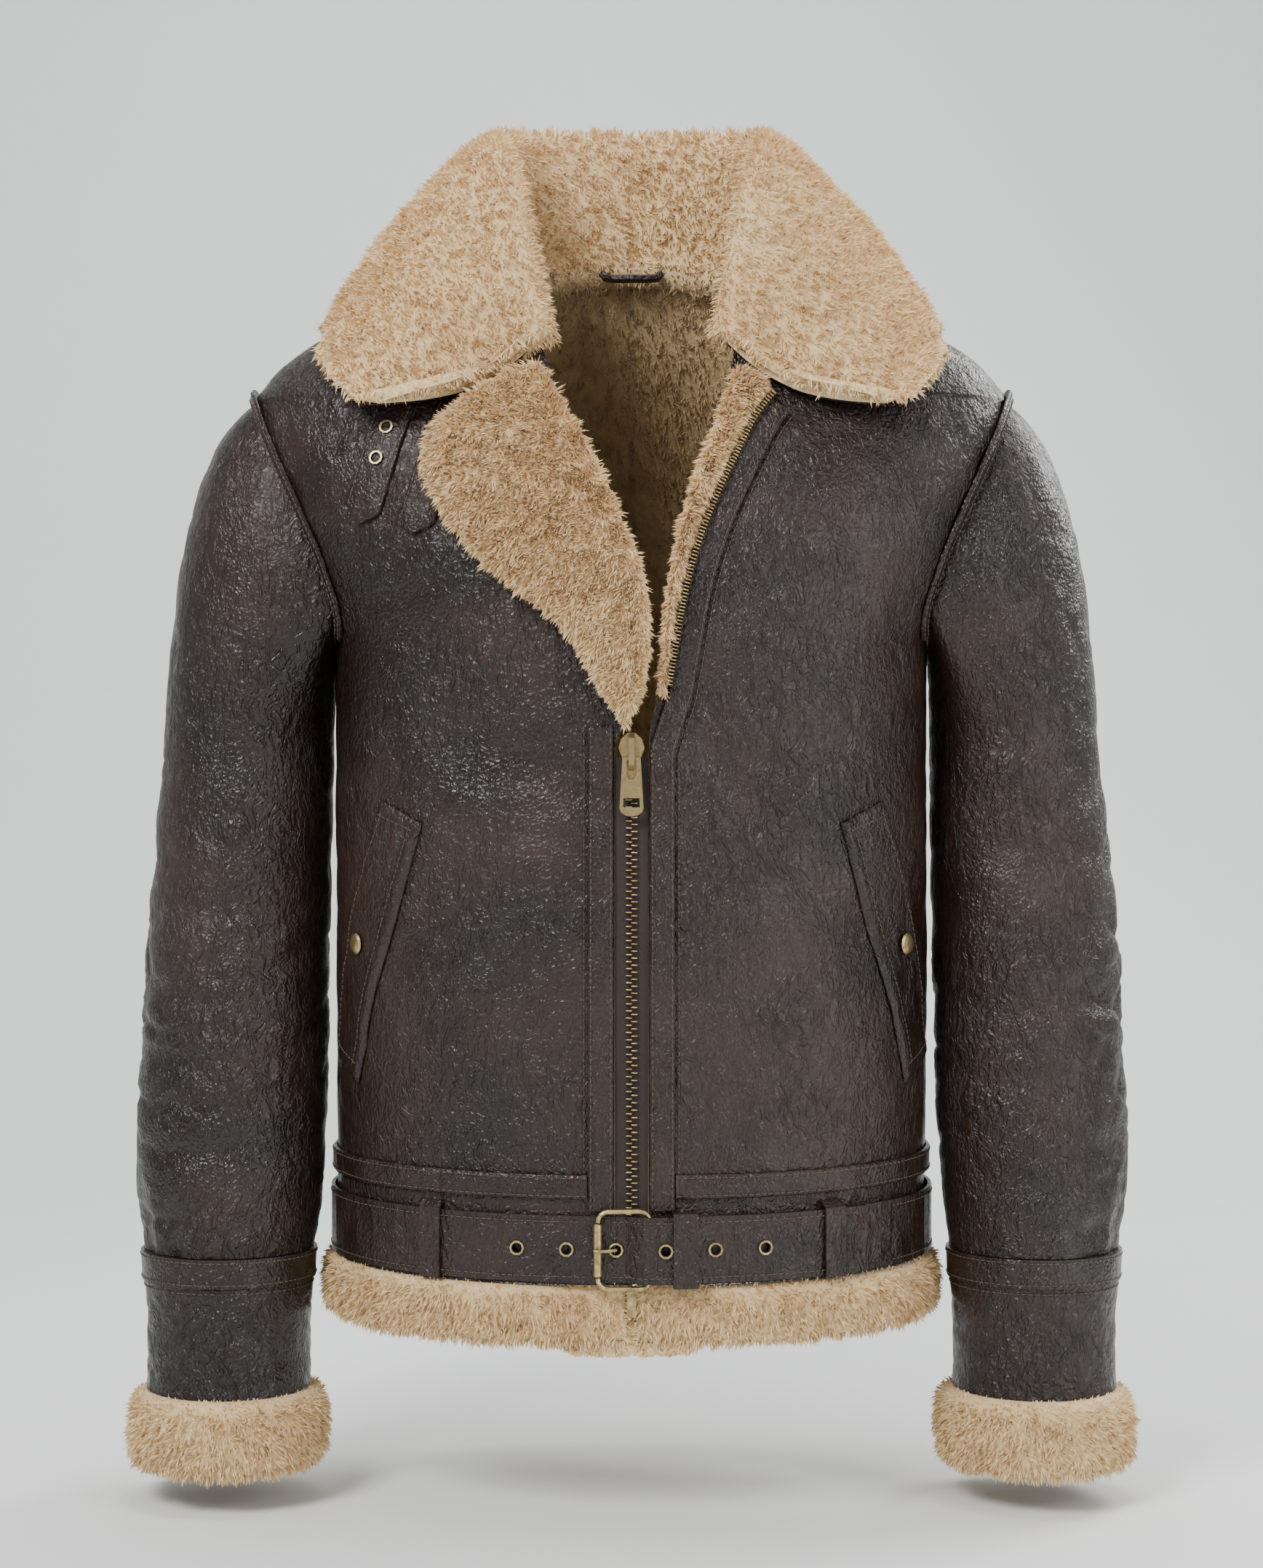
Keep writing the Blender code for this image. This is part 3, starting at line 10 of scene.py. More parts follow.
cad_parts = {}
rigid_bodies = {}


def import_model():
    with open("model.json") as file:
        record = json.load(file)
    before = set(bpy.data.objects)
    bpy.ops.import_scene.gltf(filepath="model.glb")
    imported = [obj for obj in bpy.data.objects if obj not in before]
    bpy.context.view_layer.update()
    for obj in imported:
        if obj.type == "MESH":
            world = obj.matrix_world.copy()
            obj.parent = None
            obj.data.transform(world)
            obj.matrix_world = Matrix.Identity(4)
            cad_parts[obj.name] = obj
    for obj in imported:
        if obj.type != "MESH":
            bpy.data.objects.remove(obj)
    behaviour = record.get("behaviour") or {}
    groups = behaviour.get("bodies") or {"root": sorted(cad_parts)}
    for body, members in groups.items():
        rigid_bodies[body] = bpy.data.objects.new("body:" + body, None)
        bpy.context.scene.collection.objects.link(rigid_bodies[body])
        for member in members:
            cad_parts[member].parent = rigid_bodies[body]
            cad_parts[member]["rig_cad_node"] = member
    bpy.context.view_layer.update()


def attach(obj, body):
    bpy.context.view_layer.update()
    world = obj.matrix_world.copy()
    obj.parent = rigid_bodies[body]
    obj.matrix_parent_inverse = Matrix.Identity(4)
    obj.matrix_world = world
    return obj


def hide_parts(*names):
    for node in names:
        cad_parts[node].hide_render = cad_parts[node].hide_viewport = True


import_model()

bl_info = {
    "name": "Sheepskin flying jacket",
    "version": (1, 0, 0),
    "blender": (4, 5, 0),
    "location": "View3D > Sidebar > Jacket",
    "description": "Builds a filled-out sheepskin flying jacket from its cut sizes",
    "category": "Add Mesh",
}

SEED = 11

# Sizes of the cut, in metres, the same as the solids'
HEM_Z, NECK_Z, ARMPIT_Z, TIP_Z = -0.617, -0.002, -0.235, -0.076
TORSO_COLUMNS = ("z", "half_width", "front", "back", "square", "front_drop", "back_rise")
TORSO_ROWS = (
    (-0.660, 0.1890, 0.1320, 0.1150, 2.30, 0.0045, 0.000),
    (-0.617, 0.1890, 0.1330, 0.1160, 2.30, 0.0045, 0.000),
    (-0.560, 0.1890, 0.1330, 0.1170, 2.30, 0.0045, 0.000),
    (-0.450, 0.1900, 0.1350, 0.1210, 2.30, 0.0000, 0.000),
    (-0.330, 0.1900, 0.1370, 0.1290, 2.35, 0.0000, 0.000),
    (-0.235, 0.1900, 0.1380, 0.1350, 2.40, 0.0000, 0.000),
    (-0.217, 0.1960, 0.1370, 0.1360, 2.40, 0.0000, 0.000),
    (-0.185, 0.2090, 0.1350, 0.1365, 2.45, 0.0000, 0.000),
    (-0.147, 0.2280, 0.1270, 0.1350, 2.50, 0.0000, 0.000),
    (-0.112, 0.2410, 0.1150, 0.1280, 2.50, 0.0000, 0.000),
    (-0.090, 0.2445, 0.1050, 0.1200, 2.50, 0.0000, 0.000),
    (-0.076, 0.2435, 0.0980, 0.1140, 2.50, 0.0000, 0.001),
    (-0.066, 0.2365, 0.0930, 0.1100, 2.50, 0.0000, 0.002),
    (-0.050, 0.2220, 0.0860, 0.1030, 2.45, 0.0000, 0.005),
    (-0.031, 0.1910, 0.0800, 0.0950, 2.40, 0.0000, 0.010),
    (-0.014, 0.1350, 0.0780, 0.0880, 2.30, 0.0000, 0.016),
    (0.0050, 0.0700, 0.0740, 0.0790, 2.20, 0.0000, 0.022),
)
EDGE_COLUMNS = ("z", "right", "left")
FRONT_EDGES = (
    (-0.660, 0.0105, 0.0105),
    (-0.306, 0.0105, 0.0105),
    (-0.287, 0.0065, 0.0110),
    (-0.270, -0.0050, 0.0155),
    (-0.250, -0.0110, 0.0175),
    (-0.225, -0.0125, 0.0190),
    (-0.192, -0.0080, 0.0240),
    (-0.154, 0.0070, 0.0330),
    (-0.110, 0.0285, 0.0480),
    (-0.075, 0.0460, 0.0590),
    (-0.044, 0.0580, 0.0650),
    (-0.020, 0.0700, 0.0720),
    (-0.002, 0.0740, 0.0740),
)
ARMHOLE_COLUMNS = ("z", "front", "back")
ARMHOLE_ROWS = (
    (-0.235, 0.1900, 0.1900),
    (-0.217, 0.1855, 0.1870),
    (-0.185, 0.1945, 0.1960),
    (-0.147, 0.2116, 0.2150),
    (-0.112, 0.2280, 0.2320),
    (-0.085, 0.2395, 0.2410),
    (-0.076, 0.2435, 0.2435),
)
TORSO_HOLLOWS = (
    (-1, 0.115, -0.250, 68.0, 0.075, 0.020, 0.0032),
    (-1, 0.070, -0.305, 20.0, 0.060, 0.016, 0.0026),
    (-1, 0.060, -0.470, 75.0, 0.090, 0.018, 0.0024),
    (1, 0.075, -0.330, -52.0, 0.110, 0.018, 0.0036),
    (1, 0.055, -0.265, -30.0, 0.060, 0.015, 0.0026),
    (1, 0.110, -0.300, 12.0, 0.055, 0.016, 0.0028),
    (1, 0.125, -0.225, 72.0, 0.080, 0.020, 0.0030),
)
SLEEVE_COLUMNS = ("z", "x", "y", "half_width", "half_depth")
SLEEVE_ROWS = (
    (-0.760, 0.2550, -0.041, 0.0512, 0.0530),
    (-0.700, 0.2550, -0.036, 0.0512, 0.0530),
    (-0.614, 0.2560, -0.028, 0.0535, 0.0550),
    (-0.600, 0.2562, -0.026, 0.0560, 0.0575),
    (-0.573, 0.2565, -0.022, 0.0590, 0.0600),
    (-0.523, 0.2560, -0.016, 0.0612, 0.0620),
    (-0.472, 0.2550, -0.010, 0.0608, 0.0640),
    (-0.422, 0.2540, -0.004, 0.0600, 0.0650),
    (-0.371, 0.2515, 0.000, 0.0580, 0.0650),
    (-0.295, 0.2475, 0.006, 0.0545, 0.0640),
    (-0.200, 0.2440, 0.008, 0.0520, 0.0640),
)
CAP_Z = -0.295
SLEEVE_CREASES = (
    (-1, -0.398, 95.0, 70.0, 0.0026, 0.010, 0.00004),
    (-1, -0.453, 60.0, 75.0, 0.0034, 0.010, -0.00010),
    (-1, -0.491, 50.0, 80.0, 0.0032, 0.010, -0.00006),
    (-1, -0.549, 75.0, 75.0, 0.0026, 0.011, 0.00008),
    (-1, -0.362, 330.0, 80.0, 0.0026, 0.012, 0.00006),
    (-1, -0.470, 300.0, 80.0, 0.0030, 0.011, -0.00005),
    (1, -0.362, 80.0, 70.0, 0.0028, 0.010, 0.00006),
    (1, -0.414, 60.0, 75.0, 0.0030, 0.010, 0.00004),
    (1, -0.453, 50.0, 75.0, 0.0034, 0.010, 0.00008),
    (1, -0.510, 70.0, 75.0, 0.0030, 0.011, 0.00004),
    (1, -0.549, 60.0, 60.0, 0.0024, 0.010, -0.00006),
    (1, -0.436, 300.0, 80.0, 0.0030, 0.012, 0.00006),
)
SLEEVE_PLEATS = {-1: (28.0, 55.0, 300.0), 1: (25.0, 50.0, 305.0)}
PLEAT_DEPTH, PLEAT_TOP_Z = 0.0034, -0.560
COLLAR_HALF = 0.0062
COLLAR_ROWS = (
    (0.00, 0.0570, -0.0930, -0.0430, 0.1700, -0.1150, -0.0880, 0.0240),
    (0.16, 0.0670, -0.0760, 0.0060, 0.1900, -0.0820, -0.0660, 0.0060),
    (0.32, 0.0765, -0.0480, 0.0540, 0.1950, -0.0450, -0.0440, 0.0),
    (0.48, 0.0850, -0.0120, 0.0900, 0.1900, 0.0000, -0.0160, 0.0),
    (0.62, 0.0880, 0.0380, 0.1060, 0.1740, 0.0600, -0.0160, 0.0),
    (0.76, 0.0720, 0.0810, 0.1160, 0.1350, 0.1060, -0.0160, 0.0),
    (0.88, 0.0370, 0.1000, 0.1195, 0.0700, 0.1210, -0.0150, 0.0),
    (1.00, 0.0000, 0.1040, 0.1200, 0.0000, 0.1240, -0.0150, 0.0),
)
COLLAR_FRONT_SEAM_Z = -0.050
LAPELS = {
    -1: (
        (0.0008, -0.2820, 0.0052, -0.2830),
        (-0.0090, -0.2600, 0.0170, -0.2680),
        (-0.0120, -0.2260, 0.0330, -0.2400),
        (-0.0080, -0.1930, 0.0520, -0.2180),
        (0.0040, -0.1640, 0.0750, -0.2000),
        (0.0130, -0.1400, 0.0990, -0.1770),
        (0.0240, -0.1180, 0.1190, -0.1500),
        (0.0360, -0.0980, 0.1270, -0.1260),
        (0.0460, -0.0800, 0.1220, -0.1080),
        (0.0550, -0.0640, 0.1110, -0.0960),
    ),
    1: (
        (0.0172, -0.2620, 0.0190, -0.2640),
        (0.0180, -0.2300, 0.0235, -0.2360),
        (0.0205, -0.2040, 0.0280, -0.2100),
        (0.0250, -0.1780, 0.0350, -0.1820),
        (0.0320, -0.1500, 0.0460, -0.1520),
        (0.0415, -0.1220, 0.0600, -0.1220),
        (0.0530, -0.0920, 0.0740, -0.0950),
        (0.0620, -0.0660, 0.0860, -0.0800),
    ),
}
LAPEL_THICKNESS = {-1: 0.0150, 1: 0.0110}
LAPEL_LOW = {-1: 0.0033, 1: 0.0011}
POCKET_ROWS = (
    (0.1270, -0.3440, 0.1535, -0.3300),
    (0.1350, -0.3730, 0.1670, -0.3680),
    (0.1465, -0.4140, 0.1760, -0.4050),
    (0.1590, -0.4550, 0.1820, -0.4470),
    (0.1690, -0.5050, 0.1855, -0.4900),
)
STRIP_INNER, STRIP_OUTER = 0.0108, 0.0262
STRAPS = {
    "outer": ((-0.1440, -0.0850), (-0.1670, -0.1610)), "inner": ((-0.1080, -0.0900), (-0.1330, -0.1680)),
}
STRAP_WIDTH, STRAP_POINT = 0.0230, 0.0090
BELT_LOW_Z, BELT_HIGH_Z = -0.6150, -0.5750
BELT_GAP, BELT_THICKNESS = 0.0016, 0.0022
BUCKLE_HEEL_X, BELT_TIP_X = 0.0110, 0.1560
WAIST_LOW_Z, WAIST_HIGH_Z = -0.5655, -0.5505
STRIP_LOW_Z, STRIP_HIGH_Z = -0.5718, {1: -0.300, -1: -0.286}
ZIP_LOW_Z, ZIP_HIGH_Z = -0.6166, -0.3020
BAND_HIGH_Z, BAND_LOW_Z = -0.6143, -0.6320
CUFF_HIGH_Z, CUFF_LOW_Z = -0.6323, -0.7000
CUFF_LEVELS, CUFF_OUT = (0.6323, 0.655, 0.680, 0.700), (0.0008, 0, 0, 0.0004)

# Strips of leather lie this far off the body, near side and far side
TRIM_NEAR, TRIM_FAR = 0.0008, 0.0030

# Rims of fleece: top, bottom, inner and outer side, and how many tufts
HEM_RIM = (HEM_Z - 0.0004, -0.6560, -0.0125, 0.0095)
CUFF_RIM = (-0.7004, -0.7495, -0.0150, 0.0125)
COLLAR_TUFTS, HEM_TUFTS, CUFF_TUFTS, ROLL_TUFTS = 54000, 18000, 14000, 4000
LAPEL_TUFTS = {-1: 26000, 1: 9000}
LINING_TUFTS = {-1: 1500, 1: 7000}


def side_name(side):
    return "left" if side > 0 else "right"


def unit(v):
    v = np.asarray(v, float)
    return v / np.maximum(np.linalg.norm(v, axis=-1, keepdims=True), 1e-12)


# Curves through table rows
def smooth(xs, ys, x):
    """A curve through (xs, ys), read at many places, that doesn't swing past its points."""
    xs, ys, x = np.asarray(xs, float), np.asarray(ys, float), np.asarray(x, float)
    step = np.diff(xs)
    slope = np.diff(ys) / step
    tangent = np.zeros(len(xs))
    first, second = slope[:-1], slope[1:]
    same = first * second > 0
    w1, w2 = 2 * step[1:] + step[:-1], step[1:] + 2 * step[:-1]
    first, second = np.where(same, first, 1), np.where(same, second, 1)
    tangent[1:-1] = np.where(same, (w1 + w2) / (w1 / first + w2 / second), 0)
    tangent[0], tangent[-1] = slope[0], slope[-1]
    i = np.clip(np.searchsorted(xs, x) - 1, 0, len(xs) - 2)
    t = np.clip((x - xs[i]) / step[i], 0, 1)
    return (
        (2 * t**3 - 3 * t**2 + 1) * ys[i]
        + (t**3 - 2 * t**2 + t) * step[i] * tangent[i]
        + (3 * t**2 - 2 * t**3) * ys[i + 1]
        + (t**3 - t**2) * step[i] * tangent[i + 1]
    )


def row_at(rows, names, z):
    """The named columns of a table at height z."""
    keys = [row[names.index("z")] for row in rows]
    return {n: smooth(keys, [row[names.index(n)] for row in rows], z) for n in names if n != "z"}


def along(rows, t):
    """Rows a share t of the way through a table."""
    share = np.linspace(0, 1, len(rows))
    return np.stack([smooth(share, [row[c] for row in rows], t) for c in range(len(rows[0]))], axis=-1)


# The torso surface
def hollow_depth(x, z, turn):
    depth = np.zeros(np.broadcast(x, z).shape)
    for side, mx, mz, tilt, length, width, deep in TORSO_HOLLOWS:
        dx, dz = np.abs(x) - mx, z - mz
        c, s = math.cos(math.radians(tilt)), math.sin(math.radians(tilt))
        soft = deep * np.exp(-(((dx * c + dz * s) / length) ** 2) - ((dz * c - dx * s) / width) ** 2)
        depth = depth + np.where((np.sin(turn) < 0) & (side * x > 0), soft, 0)
    return depth


def torso_plain(turn, z):
    turn, z = np.broadcast_arrays(np.asarray(turn, float), np.asarray(z, float))
    row = row_at(TORSO_ROWS, TORSO_COLUMNS, z)
    c, s = np.cos(turn), np.sin(turn)
    reach = (np.abs(c) ** row["square"] + np.abs(s) ** row["square"]) ** (-1 / row["square"])
    depth = np.where(s < 0, row["front"], row["back"])
    shift = row["back_rise"] * np.maximum(s, 0) ** 2 - row["front_drop"] * np.maximum(-s, 0) ** 2
    return np.stack([row["half_width"] * reach * c, depth * reach * s, z + shift], axis=-1)


def torso_normal(turn, z):
    d = 0.002
    across = torso_plain(turn + d, z) - torso_plain(turn - d, z)
    up = torso_plain(turn, z + d) - torso_plain(turn, z - d)
    return unit(np.cross(across, up))


def torso(turn, z, out=0.0):
    point = torso_plain(turn, z)
    sunk = hollow_depth(point[..., 0], z, turn)
    return point + torso_normal(turn, z) * (np.asarray(out) - sunk)[..., None]


def turn_at(x, z, face):
    """The angle round the body at which a level is |x| wide, on the front (face -1) or the back."""
    x, z = np.broadcast_arrays(np.asarray(x, float), np.asarray(z, float))
    row = row_at(TORSO_ROWS, TORSO_COLUMNS, z)
    across = np.minimum(np.abs(x) / row["half_width"], 1.0)
    deep = (1 - across ** row["square"]) ** (1 / row["square"])
    turn = np.arctan2(face * deep, across)
    return np.where(x >= 0, turn, face * math.pi - turn)


def front_point(x, z, out=0.0):
    return torso(turn_at(x, z, -1), z, out)


def mirrored(turn, side):
    return turn if side > 0 else math.pi - turn


def kept_clear(points, gap):
    """Points moved off the torso, up or outwards, whichever is nearer."""
    moved = np.array(points)
    for k, (x, y, z) in enumerate(points):
        if z > 0.035:
            continue
        rise = float(row_at(TORSO_ROWS, TORSO_COLUMNS, z)["back_rise"]) if y > 0 else 0.0
        level = min(z - rise, NECK_Z)
        levels = np.linspace(level, NECK_Z, 60)
        row = row_at(TORSO_ROWS, TORSO_COLUMNS, levels)
        depth = row["front"] if y < 0 else row["back"]
        square = row["square"]
        ratio = ((abs(x) / row["half_width"]) ** square + (abs(y) / depth) ** square) ** (1 / square)
        reach = math.hypot(x, y)
        short = (1 - ratio[0]) * reach / max(ratio[0], 0.2) + gap
        if short <= 0:
            continue
        outside = np.flatnonzero(ratio > 1)
        top = levels[outside[0]] if len(outside) else NECK_Z
        lift = top - level + gap
        if lift < short:
            moved[k, 2] += lift
        else:
            moved[k, :2] += np.array((x, y)) / reach * short
    return moved


# Fine relief in leather
def field(points, size, octaves=2, shift=0.0):
    """Smooth noise from about -1 to 1 at each point."""
    flat = np.asarray(points).reshape(-1, 3) / size + shift
    found = [noise.fractal(Vector(p), 0.9, 2.1, octaves) for p in flat]
    return np.array(found).reshape(np.asarray(points).shape[:-1])


def crumple(points, stretch, size, depth, shift=0.0):
    """Crease depth: a network of soft troughs, drawn out along one direction by stretch."""
    warp = np.stack([field(points, size * 2.2, 1, shift + k * 7.3) for k in range(3)], axis=-1)
    bent = points * stretch + warp * size * 0.7
    lines = 1 - np.abs(field(bent, size, 2, shift + 3.1)) * 2.4
    broad = field(points, size * 2.6, 2, shift + 9.7)
    return depth * (np.maximum(lines, 0) ** 2.2 * 0.9 - broad * 0.75)


# Mesh making
def add_object(name, points, faces, material, ride=True):
    mesh = bpy.data.meshes.new(name)
    mesh.from_pydata(np.asarray(points, float).reshape(-1, 3), [], np.asarray(faces))
    mesh.update()
    mesh.shade_smooth()
    obj = bpy.data.objects.new(name, mesh)
    bpy.context.scene.collection.objects.link(obj)
    mesh.materials.append(material)
    if ride:
        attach(obj, "jacket")
    return obj


def grid_faces(rows, cols, wrap_rows=False, wrap_cols=False, first=0):
    r = np.arange(rows if wrap_rows else rows - 1)[:, None]
    c = np.arange(cols if wrap_cols else cols - 1)[None, :]
    r2, c2 = (r + 1) % rows, (c + 1) % cols
    quads = np.stack([r * cols + c, r * cols + c2, r2 * cols + c2, r2 * cols + c], axis=-1)
    return quads.reshape(-1, 4) + first


def grid_normals(grid, wrap_rows=False, wrap_cols=False):
    """Unit normals of a grid of points, by its rows and columns."""
    def slope(a, axis, wrap):
        if wrap:
            return np.roll(a, -1, axis) - np.roll(a, 1, axis)
        return np.gradient(a, axis=axis)

    return unit(np.cross(slope(grid, 1, wrap_cols), slope(grid, 0, wrap_rows)))


def shell(name, outer, inner, material, around=False, nodes=()):
    """A thin closed shell between two grids of points, closed by flat bands at its rims."""
    rows, cols = outer.shape[:2]
    half = rows * cols
    faces = [grid_faces(rows, cols, False, around)]
    faces.append(grid_faces(rows, cols, False, around, half)[:, ::-1])
    index = np.arange(half).reshape(rows, cols)
    rims = [index[0], index[-1]]
    if around:
        rims = [np.append(r, r[0]) for r in rims]
    else:
        rims += [index[:, 0], index[:, -1]]
    for number, rim in enumerate(rims):
        quads = np.stack([rim[:-1], rim[1:], rim[1:] + half, rim[:-1] + half], axis=-1)
        faces.append(quads if number % 2 else quads[:, ::-1])
    points = np.concatenate([outer.reshape(-1, 3), inner.reshape(-1, 3)])
    obj = add_object(name, points, np.concatenate(faces), material)
    tidy_normals(obj)
    if nodes:
        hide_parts(*nodes)
    return obj


def tidy_normals(obj):
    """Faces turned outwards, and edges sharper than 50 degrees kept crisp."""
    bm = bmesh.new()
    bm.from_mesh(obj.data)
    bmesh.ops.recalc_face_normals(bm, faces=bm.faces)
    if bm.calc_volume(signed=True) < 0:
        bmesh.ops.reverse_faces(bm, faces=bm.faces)
    bm.to_mesh(obj.data)
    bm.free()
    obj.data.set_sharp_from_angle(angle=math.radians(50))


def pieces_mesh(name, shape, places, faces, material):
    """One mesh of many small copies: shape is (corners, 3), and each place is (origin, three axes)."""
    origin, axes = places
    points = origin[:, None, :] + np.einsum("vk,nkd->nvd", shape, axes)
    count, size = len(origin), len(shape)
    every = (np.asarray(faces)[None] + np.arange(count)[:, None, None] * size).reshape(-1, len(faces[0]))
    return add_object(name, points, every, material)


# Materials
class Nodes:
    """Short way to place and wire shader nodes."""

    def __init__(self, tree):
        self.tree = tree
        self.count = 0

    def add(self, kind, **values):
        node = self.tree.nodes.new(kind)
        node.location = (180 * (self.count % 8), -220 * (self.count // 8))
        self.count += 1
        for name, value in values.items():
            setattr(node, name, value)
        return node

    def join(self, source, target):
        self.tree.links.new(source, target)

    def noise(self, vector, scale, detail=3.0, rough=0.55, distort=0.0):
        node = self.add("ShaderNodeTexNoise")
        self.join(vector, node.inputs["Vector"])
        node.inputs["Scale"].default_value = scale
        node.inputs["Detail"].default_value = detail
        node.inputs["Roughness"].default_value = rough
        node.inputs["Distortion"].default_value = distort
        return node.outputs["Fac"]

    def cells(self, vector, scale):
        node = self.add("ShaderNodeTexVoronoi", feature="DISTANCE_TO_EDGE")
        self.join(vector, node.inputs["Vector"])
        node.inputs["Scale"].default_value = scale
        node.inputs["Randomness"].default_value = 1.0
        return node.outputs["Distance"]

    def math(self, operation, a, b=None, clamp=False):
        node = self.add("ShaderNodeMath", operation=operation, use_clamp=clamp)
        for socket, value in zip(node.inputs, (a, b)):
            if value is None:
                continue
            if isinstance(value, (int, float)):
                socket.default_value = value
            else:
                self.join(value, socket)
        return node.outputs[0]

    def span(self, value, low, high, to_low=0.0, to_high=1.0):
        node = self.add("ShaderNodeMapRange")
        node.clamp = True
        self.join(value, node.inputs["Value"])
        for name, number in (("From Min", low), ("From Max", high), ("To Min", to_low), ("To Max", to_high)):
            node.inputs[name].default_value = number
        return node.outputs["Result"]

    def mix(self, factor, a, b):
        node = self.add("ShaderNodeMix", data_type="RGBA", blend_type="MIX")
        self.join(factor, node.inputs["Factor"])
        for socket, value in ((node.inputs["A"], a), (node.inputs["B"], b)):
            if isinstance(value, tuple):
                socket.default_value = value
            else:
                self.join(value, socket)
        return node.outputs["Result"]

    def bump(self, height, strength, distance):
        node = self.add("ShaderNodeBump")
        self.join(height, node.inputs["Height"])
        node.inputs["Strength"].default_value = strength
        node.inputs["Distance"].default_value = distance
        return node.outputs["Normal"]


def new_group(name, inputs, outputs):
    """A new shader group with its inputs and outputs, and the nodes that stand for them."""
    tree = bpy.data.node_groups.new(name, "ShaderNodeTree")
    for label, kind, value in inputs:
        socket = tree.interface.new_socket(label, in_out="INPUT", socket_type=kind)
        if value is not None:
            socket.default_value = value
    for label, kind in outputs:
        tree.interface.new_socket(label, in_out="OUTPUT", socket_type=kind)
    nodes = Nodes(tree)
    return tree, nodes, nodes.add("NodeGroupInput"), nodes.add("NodeGroupOutput")


def leather_grain_group():
    """Crackled grain: broad creases, fine cracks between pebbles, and soft swells."""
    name = "Leather grain"
    if name in bpy.data.node_groups:
        return bpy.data.node_groups[name]
    tree, n, given, out = new_group(
        name,
        [("Vector", "NodeSocketVector", None), ("Crease depth", "NodeSocketFloat", 1.0)],
        [("Height", "NodeSocketFloat"), ("Crack", "NodeSocketFloat"), ("Tone", "NodeSocketFloat")],
    )
    vector = given.outputs["Vector"]
    warp = n.add("ShaderNodeTexNoise")
    n.join(vector, warp.inputs["Vector"])
    warp.inputs["Scale"].default_value = 17.0
    warp.inputs["Detail"].default_value = 2.0
    bend = n.add("ShaderNodeVectorMath", operation="MULTIPLY_ADD")
    n.join(warp.outputs["Color"], bend.inputs[0])
    bend.inputs[1].default_value = (0.022, 0.022, 0.022)
    n.join(vector, bend.inputs[2])
    drawn = n.add("ShaderNodeMapping")
    n.join(bend.outputs[0], drawn.inputs["Vector"])
    drawn.inputs["Rotation"].default_value = (0.1, 0.35, 0.2)
    drawn.inputs["Scale"].default_value = (1.0, 1.0, 0.55)
    wrinkle = n.noise(drawn.outputs[0], 170.0, 2.0, 0.5, 0.9)
    ridge = n.span(n.math("ABSOLUTE", n.math("SUBTRACT", wrinkle, 0.5)), 0.0, 0.11)
    folds = n.span(n.cells(drawn.outputs[0], 90.0), 0.0, 0.26)
    pebble = n.span(n.cells(bend.outputs[0], 300.0), 0.0, 0.30)
    where = n.span(n.noise(vector, 17.0, 3.0), 0.36, 0.66, 0.30, 1.0)
    strong = n.math("MULTIPLY", where, given.outputs["Crease depth"])
    wavy = n.math("MULTIPLY", ridge, n.math("MULTIPLY", strong, 0.42))
    deep = n.math("MULTIPLY", folds, n.math("MULTIPLY", strong, 0.34))
    fine = n.math("MULTIPLY", pebble, 0.13)
    swell = n.math("MULTIPLY", n.noise(vector, 64.0, 3.0, 0.6, 0.5), 0.9)
    height = n.math("ADD", n.math("ADD", wavy, deep), n.math("ADD", fine, swell))
    n.join(height, out.inputs["Height"])
    # Crack mask: the cell edges and wrinkle hollows of the grain; the leather paints shade there and makes
    # them duller
    hollow = n.math("MULTIPLY", n.math("SUBTRACT", 1.0, ridge), 0.7)
    crack_shade = n.math("MAXIMUM", n.math("SUBTRACT", 1.0, folds), hollow)
    n.join(n.math("MULTIPLY", crack_shade, strong, True), out.inputs["Crack"])
    n.join(n.noise(vector, 9.0, 5.0, 0.6, 0.4), out.inputs["Tone"])
    return tree


def wool_tone_group():
    """Uneven colour of fleece: yellowed patches, and painted shade in the hollows between locks, where their
    bump is low.
    """
    name = "Wool tone"
    if name in bpy.data.node_groups:
        return bpy.data.node_groups[name]
    tree, n, given, out = new_group(
        name,
        [
            ("Vector", "NodeSocketVector", None),
            ("Light", "NodeSocketColor", (1, 1, 1, 1)),
            ("Dark", "NodeSocketColor", (0, 0, 0, 1)),
        ],
        [("Color", "NodeSocketColor"), ("Height", "NodeSocketFloat")],
    )
    vector = given.outputs["Vector"]
    patch = n.span(n.noise(vector, 16.0, 4.0, 0.6), 0.35, 0.68)
    lock = n.span(n.noise(vector, 240.0, 3.0, 0.7, 0.8), 0.30, 0.70)
    # Share of the light colour: random patches of tone, plus painted shade from the lock noise that also
    # raises the bump, so the hollows between locks are darker
    share = n.math("ADD", n.math("MULTIPLY", patch, 0.45), n.math("MULTIPLY", lock, 0.55), True)
    n.join(n.mix(share, given.outputs["Dark"], given.outputs["Light"]), out.inputs["Color"])
    fine = n.noise(vector, 420.0, 3.0, 0.7, 1.0)
    n.join(n.math("ADD", fine, n.math("MULTIPLY", lock, 1.5)), out.inputs["Height"])
    return tree


